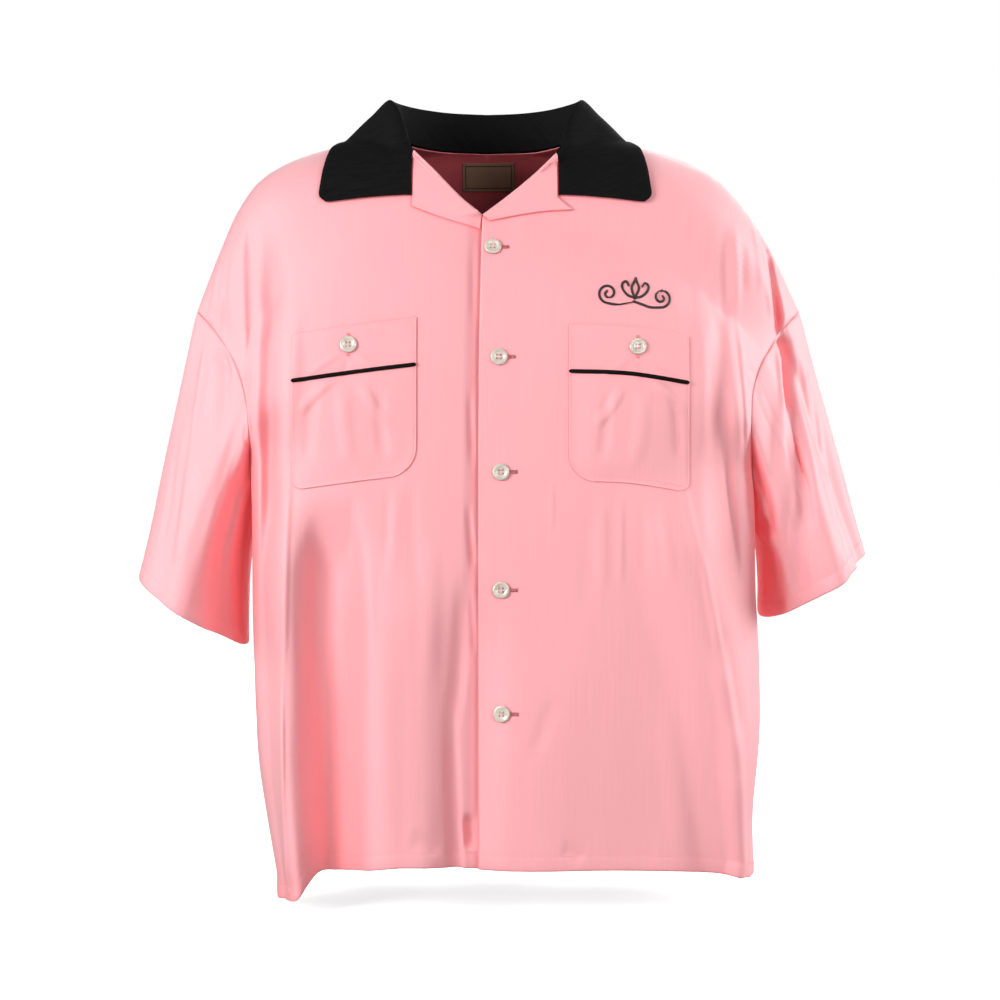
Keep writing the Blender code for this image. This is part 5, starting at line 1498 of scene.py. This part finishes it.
def soften(grid, times):
    """Even out how far back a grid stands, its edges too, but push no point further back."""
    y = grid[..., 1]
    for _ in range(times):
        wide = np.pad(y, 1, mode="edge")
        y = (wide[1:-1, 1:-1] * 2 + wide[:-2, 1:-1] + wide[2:, 1:-1]
             + wide[1:-1, :-2] + wide[1:-1, 2:]) / 6
    grid[..., 1] = np.minimum(grid[..., 1], y)


def pocket_sheet(shirt, side, downs, lift, rounded):
    """Points of a pouch or band, laid over the front, at depths below the pocket's top."""
    size = POCKETS[side]
    run = size["far"] - size["near"]
    wide = abs(run)
    share = np.r_[0, 0.004, 0.01, 0.016, 0.022, np.linspace(0.03, 0.97, 58), 0.978, 0.984, 0.99, 0.996, 1]
    grid = np.zeros((len(downs), len(share), 3))
    for i, down in enumerate(downs):
        near, far = (radius - sqrt(max(radius**2 - max(down - POCKET_TALL + radius, 0)**2, 0))
                     if rounded else 0.0 for radius in (NEAR_CORNER, FAR_CORNER))
        for j, t in enumerate(share):
            across = (near + (wide - near - far) * t) / wide
            x, z = size["near"] + run * across, -through((0, 0.5, 1), size["top"], across) - down
            grid[i, j] = (x, shirt.y(side, x, z), z)
    soften(grid, 10)
    grid[..., 1] -= lift
    return grid


def pocket_folds(side, grid, uneven):
    """Soft folds that run from a pocket's button and down its pouch, on uneven cloth."""
    x, drop = POCKET_BUTTONS[side]
    total = np.zeros(grid.shape[:2])
    for line, half_wide, steep, high in flat_strokes(POCKET_STROKES):
        line = np.stack([x + side * line[:, 0], 0 * line[:, 0], -drop - line[:, 1]], axis=1)
        total += high * ridge(grid * (1, 0, 1), (0.0, -1.0, 0.0), line, half_wide, steep)
    return total + uneven * unevenness(grid + 3.0)


def beside_piping(away):
    """How far the cloth stands up beside the piping."""
    return 0.0004 * np.exp(-(away / 0.0015) ** 2)


class SHIRT_OT_pockets(bpy.types.Operator):
    """Make both breast pockets: pouch, band and black piping between them"""
    bl_idname = "shirt.pockets"
    bl_label = "Pockets"

    def execute(self, context):
        look, sizes, shirt = settings(context)
        for side in SIDES:
            lift = sizes.cloth + POCKET_GAP
            shirt.pouches[side] = self.pouch(shirt, side, lift, sizes.pocket_swell)
            shirt.bands[side] = self.band(shirt, side, lift)
            for name, grid in (("pocket_", shirt.pouches[side]), ("pocket_band_", shirt.bands[side])):
                cut = np.stack([grid[..., 0] + 0.5, grid[..., 2]], axis=-1)
                cut_cloth(name + side_word(side), grid, cut, pink_cloth(look), sizes.cloth * 0.75, "laid",
                          ["cloth_front_" + side_word(side)], flip=side == LEFT)
            self.piping(shirt, side, look, sizes.piping)
        return {"FINISHED"}

    def pouch(self, shirt, side, lift, swell):
        """The pouch below the piping, full in its middle."""
        start = BAND_TALL + PIPING_GAP
        share = np.r_[np.linspace(0, 0.93, 62), 0.945, 0.958, 0.97, 0.98, 0.988, 0.994, 1.0]
        grid = pocket_sheet(shirt, side, start + (POCKET_TALL - start) * share, lift, True)
        across, down = shares(grid.shape[1])[None], share[:, None]
        full = np.sin(pi * across) ** 0.7 * np.sin(pi * np.clip(down, 0, 1) ** 0.8) ** 0.7
        from_rim = distance_to(grid, np.concatenate([grid[:, 0], grid[-1], grid[:, -1]]))
        high = swell * full * ease(from_rim / 0.02)
        high += pocket_folds(side, grid, 0.6) * ease(from_rim / 0.012)
        high += np.interp(from_rim, *POCKET_EDGE)
        high += 0.5 * pucker(grid, from_rim - 0.002)
        high += beside_piping(down * (POCKET_TALL - start))
        grid[..., 1] -= high
        return grid

    def band(self, shirt, side, lift):
        """The band above the piping, gaping a little at its top."""
        share = np.r_[0, 0.015, 0.03, 0.05, 0.07, np.linspace(0.1, 0.97, 26), 1.0]
        grid = pocket_sheet(shirt, side, (BAND_TALL - PIPING_GAP) * share, lift, False)
        down = share[:, None] * BAND_TALL
        from_rim = distance_to(grid, np.concatenate([grid[:, 0], grid[:, -1]]))
        middle = ease(from_rim / 0.015)
        high = pocket_folds(side, grid, 0.5) * middle + np.interp(from_rim, *POCKET_EDGE)
        high += 0.0012 * middle * np.exp(-(down / 0.012) ** 2)
        high -= 0.0005 * np.clip(1 - down / 0.0012, 0, 1) ** 2
        high += beside_piping(down - BAND_TALL)
        grid[..., 1] -= high
        return grid

    def piping(self, shirt, side, look, radius):
        """A covered cord, caught between the pouch and the band."""
        middle = (shirt.pouches[side][0] + shirt.bands[side][-1]) / 2
        line = along(middle, shares(PIPING_ROWS)) - (0, radius * 0.3, 0)
        ahead = unit(np.gradient(line, axis=0))
        up = unit(np.cross(ahead, (0.0, 1.0, 0.0)))
        ahead = np.cross(ahead, up)
        turn = np.linspace(0, tau, PIPING_ROUND, endpoint=False)[None, :, None]
        taper = radius * np.sqrt(np.clip(1 - np.linspace(-1, 1, PIPING_ROWS) ** 40, 0.02, 1))
        rim = np.cos(turn) * up[:, None] + np.sin(turn) * ahead[:, None]
        grid = line[:, None] + taper[:, None, None] * rim
        cut = np.stack([lengths(grid, 0), lengths(grid, 1)], axis=-1)
        name = "piping_" + side_word(side)
        mesh = sheet_mesh(name + "_cord", grid, cut, girth=np.full(len(grid), tau * radius))
        reshape(mesh, close_ends)
        mesh.shade_smooth()
        place_piece(name + "_cord", mesh, finish("collar_cloth_fine", collar_cloth, look), "collar_cloth",
                    (name,))


def close_ends(shape):
    """Close the open ends of a tube, and turn every face outwards."""
    bmesh.ops.holes_fill(shape, edges=[e for e in shape.edges if e.is_boundary], sides=0)
    turn_out(shape)


def turn_out(shape):
    bmesh.ops.recalc_face_normals(shape, faces=shape.faces[:])


class SHIRT_OT_label(bpy.types.Operator):
    """Sew the plain woven label inside the back of the neck"""
    bl_idname = "shirt.label"
    bl_label = "Neck label"

    def execute(self, context):
        look, sizes, shirt = settings(context)
        down = LABEL_TALL * np.linspace(-0.5, 0.5, 28)
        across = LABEL_WIDE * np.linspace(-0.5, 0.5, 50)
        grid = np.zeros((len(down), len(across), 3))
        for i, d in enumerate(down):
            for j, a in enumerate(across):
                x, z = LABEL_X + a, -LABEL_DROP - d
                hits = [hit_ahead(tree, x, z, 0.0) for tree in shirt.backs.values()]
                grid[i, j] = (x, min(hit.y for hit in hits if hit is not None), z)
        soften(grid, 8)
        grid[..., 1] -= sizes.cloth + LABEL_GAP
        belly = np.cos(pi * across / LABEL_WIDE)[None] * np.cos(pi * down / LABEL_TALL)[:, None]
        grid[..., 1] -= 0.0006 * belly
        shirt.label = grid
        cut = np.stack(np.broadcast_arrays(across[None], -down[:, None]), axis=-1)
        cut_cloth("neck_label", grid, cut, finish("label_weave_fine", label_weave, look), LABEL_CLOTH,
                  "laid", ["cloth_back"], name="woven_label", slot="label_weave", flip=True)
        return {"FINISHED"}


def button_blank():
    """A turned four-hole button with a raised rim and a dished middle, its face up."""
    outline = bpy.data.meshes.new("button_profile")
    outline.from_pydata([(r * BUTTON_RADIUS, 0.0, h * BUTTON_THICK) for r, h in BUTTON_PROFILE],
                        [(i, i + 1) for i in range(len(BUTTON_PROFILE) - 1)], [])
    blank = add_object("button_blank", outline)
    turn = blank.modifiers.new("turn", "SCREW")
    turn.steps = turn.render_steps = 56
    turn.use_merge_vertices = True
    turn.merge_threshold = 0.00001
    cutter = add_object("button_holes", bpy.data.meshes.new("button_holes"))

    def bore(shape):
        for x in (-HOLE_PLACE, HOLE_PLACE):
            for y in (-HOLE_PLACE, HOLE_PLACE):
                bmesh.ops.create_cone(shape, cap_ends=True, segments=16, radius1=BUTTON_HOLE,
                                      radius2=BUTTON_HOLE, depth=3 * BUTTON_THICK,
                                      matrix=Matrix.Translation((x, y, BUTTON_THICK / 2)))

    reshape(cutter.data, bore)
    drill = blank.modifiers.new("drill", "BOOLEAN")
    drill.operation = "DIFFERENCE"
    drill.object = cutter
    mesh = plain_mesh(blank)
    bpy.data.objects.remove(cutter, do_unlink=True)
    reshape(mesh, turn_out)
    mesh.shade_smooth()
    mesh.set_sharp_from_angle(angle=radians(40))
    return mesh


def button_places(shirt):
    """Each button's node, and where it sits and faces."""
    places = [("front_%d" % (i + 1), LEFT, x, drop) for i, (x, drop) in enumerate(FRONT_BUTTONS)]
    places += [("pocket_" + side_word(side), side, *POCKET_BUTTONS[side]) for side in SIDES]
    for name, side, x, drop in places:
        out = shirt.slope(side, x, -drop)
        if name.startswith("front"):
            y = shirt.y(side, x, -drop)
        else:
            band = shirt.bands[side]
            near = np.argmin(np.abs(band[..., 0] - x) + np.abs(band[..., 2] + drop))
            y = band.reshape(-1, 3)[near, 1]
        foot = Vector((x, y, -drop)) + out * BUTTON_SEAT
        turn = out.to_track_quat("Z", "Y").to_matrix().to_4x4()
        yield "button_" + name, Matrix.Translation(foot) @ turn


class SHIRT_OT_buttons(bpy.types.Operator):
    """Make the pearl buttons and sew them on"""
    bl_idname = "shirt.buttons"
    bl_label = "Buttons"

    def execute(self, context):
        look, _, shirt = settings(context)
        blank, threads = button_blank(), []
        for name, place in button_places(shirt):
            mesh = blank.copy()
            mesh.transform(place)
            place_piece("pearl_" + name, mesh, finish("button_pearl_fine", pearl, look), "button_pearl",
                        (name,))
            for y in (-HOLE_PLACE, HOLE_PLACE):
                for aside in (-0.0003, 0.0, 0.0003):
                    arc = [(HOLE_PLACE * x, y + aside * near, BUTTON_THICK * high)
                           for x, near, high in BUTTON_THREAD]
                    threads.append(np.array([place @ Vector(p) for p in arc]))
        sew("button_threads", laid_thread, threads, "button_thread", look.thread,
            {"Thread radius": 0.00024})
        return {"FINISHED"}


def hole_threads(x, drop, upright, y_of):
    """Close satin stitches round a buttonhole, and a bar of them across each end."""
    def place(along_hole, aside, up=0.0):
        a, b = (aside, -along_hole) if upright else (along_hole, aside)
        px, pz = x + a, -drop + b
        return (px, y_of(px, pz) - 0.00025 - up, pz)

    start = -HOLE_LONG / 2 if upright else -HOLE_START
    end = start + HOLE_LONG
    count = int((end - start) / HOLE_PITCH)
    lines = []
    for edge in (-1, 1):
        zig = []
        for k in range(count + 1):
            a = start + (end - start) * k / count
            zig += [place(a, edge * HOLE_SLIT), place(a + HOLE_PITCH / 2, edge * HOLE_BITE, 0.0001)]
        lines.append(np.array(zig))
    for bar in (start - 0.0006, end - 0.0006):
        zig = []
        for k in range(5):
            zig += [place(bar + BAR_PITCH * k, -BAR_HALF, 0.0002),
                    place(bar + BAR_PITCH * (k + 0.5), BAR_HALF, 0.0002)]
        lines.append(np.array(zig))
    return lines


class SHIRT_OT_buttonholes(bpy.types.Operator):
    """Work the buttonholes: level ones down the front, upright ones on the pockets"""
    bl_idname = "shirt.buttonholes"
    bl_label = "Buttonholes"

    def execute(self, context):
        look, _, shirt = settings(context)
        lines = []
        for x, drop in FRONT_BUTTONS:
            lines += hole_threads(x, drop, False, lambda px, pz: shirt.y(LEFT, px, pz))
        for side in SIDES:
            band = tree_of(shirt.bands[side])

            def band_y(px, pz):
                hit = hit_ahead(band, px, pz)
                return hit.y if hit else shirt.y(side, px, pz)

            lines += hole_threads(*POCKET_BUTTONS[side], True, band_y)
        lapel = tree_of(shirt.lapels[LEFT])
        zig = []
        for k, (x, drop) in enumerate(bowed(*BAR_TACK, 0.0, 41)):
            near = lapel.find_nearest(Vector((x, -0.2, -drop + (0.0007 if k % 2 else -0.0007))))[0]
            zig.append(near - Vector((0, 0.0004, 0)))
        lines.append(np.array(zig))
        sew("buttonhole_stitches", laid_thread, lines, "shirt_thread", look.thread,
            {"Thread radius": 0.00017})
        return {"FINISHED"}


class SHIRT_OT_scroll(bpy.types.Operator):
    """Work the plain mirrored scroll above the wearer's left pocket"""
    bl_idname = "shirt.scroll"
    bl_label = "Scroll"

    def execute(self, context):
        look, _, shirt = settings(context)
        turn = shares(40)[:, None]
        angle = -pi / 2 + tau * VOLUTE_TURNS * turn
        radius = VOLUTE_RADII[0] + (VOLUTE_RADII[1] - VOLUTE_RADII[0]) * turn
        volute = np.array(VOLUTE_MIDDLE) + radius * np.concatenate([np.cos(angle), np.sin(angle)], axis=1)
        parts = [np.array(SCROLL_BUD), np.array(SCROLL_LEAF), np.concatenate([SCROLL_STEM[:-1], volute])]
        x, drop, lean = SCROLL
        lines = []
        for part in parts:
            smooth = through(np.arange(len(part)), part, np.linspace(0, len(part) - 1, 8 * len(part)))
            for side in (-1, 1):
                a, b = smooth[:, 0] * side, smooth[:, 1]
                across = x + a * cos(lean) - b * sin(lean)
                up = -drop + a * sin(lean) + b * cos(lean)
                lines.append(np.array([(px, shirt.y(LEFT, px, pz) - 0.0004, pz)
                                       for px, pz in zip(across, up)]))
        sew("scroll_stitches", chain_stitch, lines, "scroll_thread", look.scroll, SCROLL_LINK)
        return {"FINISHED"}


class SHIRT_OT_stitching(bpy.types.Operator):
    """Run the visible seams: hem, cuffs, pockets and label"""
    bl_idname = "shirt.stitching"
    bl_label = "Stitching"

    def execute(self, context):
        look, sizes, shirt = settings(context)
        row = HEM_ROWS.index(HEM_STITCH)
        lines = [panel.grid[row] + facing(panel.grid, panel.flip)[row] * THREAD_LIFT
                 for panel in shirt.panels.values()]
        for side in SIDES:
            cuff = ringed(shirt.cuffs[side])[-1 - row]
            out = cuff - cuff.mean(axis=0)
            lines.append(cuff + unit(out) * THREAD_LIFT)
            for grid, below in ((shirt.pouches[side], 6), (shirt.bands[side], 0)):
                lines.append(self.inset(grid, 4, below) - (0, THREAD_LIFT, 0))
        sew("seam_stitches", running_stitch, lines, "shirt_thread", look.thread,
            {"Pitch": sizes.stitch, "Half length": sizes.stitch * 0.4, "Thread radius": sizes.thread})
        label = shirt.label - (0, THREAD_LIFT, 0)
        corners = [np.array([label[i, j] + (d, 0, 0) for d in np.linspace(-0.002, 0.002, 4)])
                   for i in (2, -3) for j in (2, -3)]
        sew("label_stitches", laid_thread, corners, "label_thread", LABEL_THREAD,
            {"Thread radius": 0.0003})
        return {"FINISHED"}

    def inset(self, grid, aside, below):
        """A line a few points in from the sides of a grid, and from its foot."""
        last = len(grid) - 1 - below
        sides = [grid[:last + 1, aside], grid[last::-1, -1 - aside]]
        if below:
            sides.insert(1, grid[last, aside:grid.shape[1] - aside])
        return np.concatenate(sides) if below else np.concatenate([sides[0], sides[0][-1:]])


# ---------------- stage

# Lights: name, width, place and what they aim at
LIGHTS = (
    ("key", 1.5, (-2.6, -2.35, 0.35), (0.0, 0.0, -0.35)),
    ("fill", 2.0, (1.7, -3.1, 0.3), (0.05, 0.0, -0.35)),
    ("rim", 1.4, (2.6, 0.5, 0.5), (0.1, 0.0, -0.3)),
    ("edge", 1.4, (-2.6, 0.5, 0.5), (-0.1, 0.0, -0.3)),
    ("back", 2.2, (0.7, 3.0, 0.5), (0.0, 0.0, -0.4)),
)
FLOOR_GAP, FLOOR_REACH = 0.004, 300.0
GLOW_NEAR, GLOW_FAR = 0.9, 2.6  # distances from the origin over which the floor's glow grows
CAMERA_LENS, CAMERA_SENSOR = 87.2, 36.0  # in millimetres
CAMERA_PLACE, CAMERA_TURN = (0.017, -2.3, -0.3515), (pi / 2, 0.0, 0.0)


def floor_white(tree, shader, stage):
    """A pale floor: it takes a soft shadow near the shirt and melts into white further off."""
    place = add(tree, "ShaderNodeTexCoord").outputs["Object"]
    reach = add(tree, "ShaderNodeVectorMath", {0: place}, operation="LENGTH").outputs["Value"]
    connect(tree, shader, {
        "Base Color": (0.9, 0.9, 0.9, 1.0), "Roughness": 0.9, "Specular IOR Level": 0.1,
        "Emission Color": (1.0, 1.0, 1.0, 1.0),
        "Emission Strength": spread(tree, reach, GLOW_NEAR, GLOW_FAR, stage.floor, 1.0)})


class SHIRT_OT_stage(bpy.types.Operator):
    """Set the pale floor, the soft lights and the camera"""
    bl_idname = "shirt.stage"
    bl_label = "Stage"

    def execute(self, context):
        scene, stage = context.scene, context.scene.shirt_stage
        mesh = bpy.data.meshes.new("floor")
        low, far = CAD_BOX[0][2] - FLOOR_GAP, FLOOR_REACH
        mesh.from_pydata([(-far, -far, low), (far, -far, low), (far, far, low), (-far, far, low)], [],
                         [(0, 1, 2, 3)])
        mesh.materials.append(finish("floor_white", floor_white, stage))
        floor = add_object("floor", mesh)
        floor.visible_diffuse = floor.visible_glossy = False
        scene.world = bpy.data.worlds.new("studio")
        scene.world.use_nodes = True
        tree = scene.world.node_tree
        seen = add(tree, "ShaderNodeLightPath").outputs["Is Camera Ray"]
        connect(tree, tree.nodes["Background"], {
            "Color": (1.0, 1.0, 1.0, 1.0), "Strength": spread(tree, seen, 0.0, 1.0, stage.surround, 1.0)})
        scene.view_settings.view_transform = "Standard"
        for name, size, place, target in LIGHTS:
            data = bpy.data.lights.new(name, "AREA")
            data.energy, data.size = getattr(stage, name), size
            aim = (Vector(target) - Vector(place)).to_track_quat("-Z", "Y").to_matrix().to_4x4()
            add_object(name, data).matrix_world = Matrix.Translation(place) @ aim
        camera = add_object("camera", bpy.data.cameras.new("camera"))
        camera.data.lens, camera.data.sensor_width = CAMERA_LENS, CAMERA_SENSOR
        camera.location, camera.rotation_euler = CAMERA_PLACE, CAMERA_TURN
        scene.camera = camera
        return {"FINISHED"}


# ---------------- settings and panel

def colour(name, text, value):
    return FloatVectorProperty(name=name, description="Colour of " + text, subtype="COLOR", size=3,
                               min=0.0, max=1.0, default=value)


def length(name, text, value):
    return FloatProperty(name=name, description=text, default=value, min=0.0, unit="LENGTH", precision=5)


def power(name, text, value):
    return FloatProperty(name=name, description="Power of " + text, default=value, min=0.0, unit="POWER")


class ShirtLook(bpy.types.PropertyGroup):
    """Colours and gloss"""
    shirt: colour("Shirt cloth", "the fronts, back, sleeves, lapels and pockets", (0.85, 0.368, 0.396))
    # The inside colour is far darker than the cloth: painted shade of the shirt's hollow
    inside: colour("Inside, painted shade", "the shirt cloth's inside, darkened as painted shade", (0.46, 0.076, 0.09))
    collar: colour("Collar cloth", "the collar and the piping", (0.0058, 0.0054, 0.0054))
    thread: colour("Thread", "the sewing thread", (0.9, 0.42, 0.44))
    button: colour("Buttons", "the pearl buttons", (0.6, 0.56, 0.49))
    label: colour("Label", "the neck label's ground", (0.26, 0.15, 0.092))
    scroll: colour("Scroll", "the chain-stitch scroll", (0.012, 0.011, 0.012))
    gloss: FloatProperty(name="Cloth roughness", description="Low is satin, high is matt",
                         default=0.58, min=0.1, max=1.0, subtype="FACTOR")


class ShirtSizes(bpy.types.PropertyGroup):
    """Thicknesses and sewing sizes"""
    cloth: length("Cloth", "Thickness of the shirt cloth", 0.0008)
    collar: length("Collar", "Thickness of the collar", 0.0018)
    collar_lift: length("Collar lift", "How far the collar's face stands off the shirt", 0.004)
    lapel_lift: length("Lapel lift", "How far a lapel's face stands off the front", 0.0027)
    lapel_roll: length("Lapel roll", "Radius of the roll at a lapel's fold", 0.0016)
    pocket_swell: length("Pocket swell", "How far a pouch stands off the front", 0.0026)
    piping: length("Piping", "Radius of the piping", 0.0019)
    stitch: length("Stitch pitch", "From one stitch to the next", 0.0026)
    thread: length("Thread", "Radius of the sewing thread", 0.00022)


class ShirtStage(bpy.types.PropertyGroup):
    """Light of the studio"""
    key: power("Key light", "the key light, on the wearer's right", 130.0)
    fill: power("Fill light", "the fill light, on the wearer's left", 70.0)
    rim: power("Rim light", "the light on the wearer's left, a little behind", 86.0)
    edge: power("Edge light", "the light on the wearer's right, a little behind", 30.0)
    back: power("Back light", "the light behind the shirt", 70.0)
    surround: FloatProperty(name="Surround", description="Light from the white surround",
                            default=0.12, min=0.0)
    floor: FloatProperty(name="Floor", description="Glow that keeps the floor pale", default=0.72, min=0.0)


OPERATORS = (SHIRT_OT_body, SHIRT_OT_sleeves, SHIRT_OT_collar, SHIRT_OT_lapels, SHIRT_OT_pockets,
             SHIRT_OT_label, SHIRT_OT_buttons, SHIRT_OT_buttonholes, SHIRT_OT_scroll, SHIRT_OT_stitching,
             SHIRT_OT_stage)


class SHIRT_PT_panel(bpy.types.Panel):
    """Sizes, colours and steps of the shirt"""
    bl_idname = "SHIRT_PT_panel"
    bl_label = "Bowling shirt"
    bl_space_type = "VIEW_3D"
    bl_region_type = "UI"
    bl_category = "Shirt"

    def draw(self, context):
        for group in (context.scene.shirt_look, context.scene.shirt_sizes, context.scene.shirt_stage):
            box = self.layout.box()
            for name in group.__annotations__:
                box.prop(group, name)
        for operator in OPERATORS:
            self.layout.operator(operator.bl_idname)


GROUPS = (("shirt_look", ShirtLook), ("shirt_sizes", ShirtSizes), ("shirt_stage", ShirtStage))
CLASSES = (*(group for _, group in GROUPS), *OPERATORS, SHIRT_PT_panel)


def register():
    for item in CLASSES:
        bpy.utils.register_class(item)
    for name, group in GROUPS:
        setattr(bpy.types.Scene, name, PointerProperty(type=group))


def unregister():
    for name, _ in GROUPS:
        delattr(bpy.types.Scene, name)
    for item in reversed(CLASSES):
        bpy.utils.unregister_class(item)


def main():
    register()
    for operator in OPERATORS:
        family, step = operator.bl_idname.split(".")
        getattr(getattr(bpy.ops, family), step)()


if __name__ == "__main__":
    main()
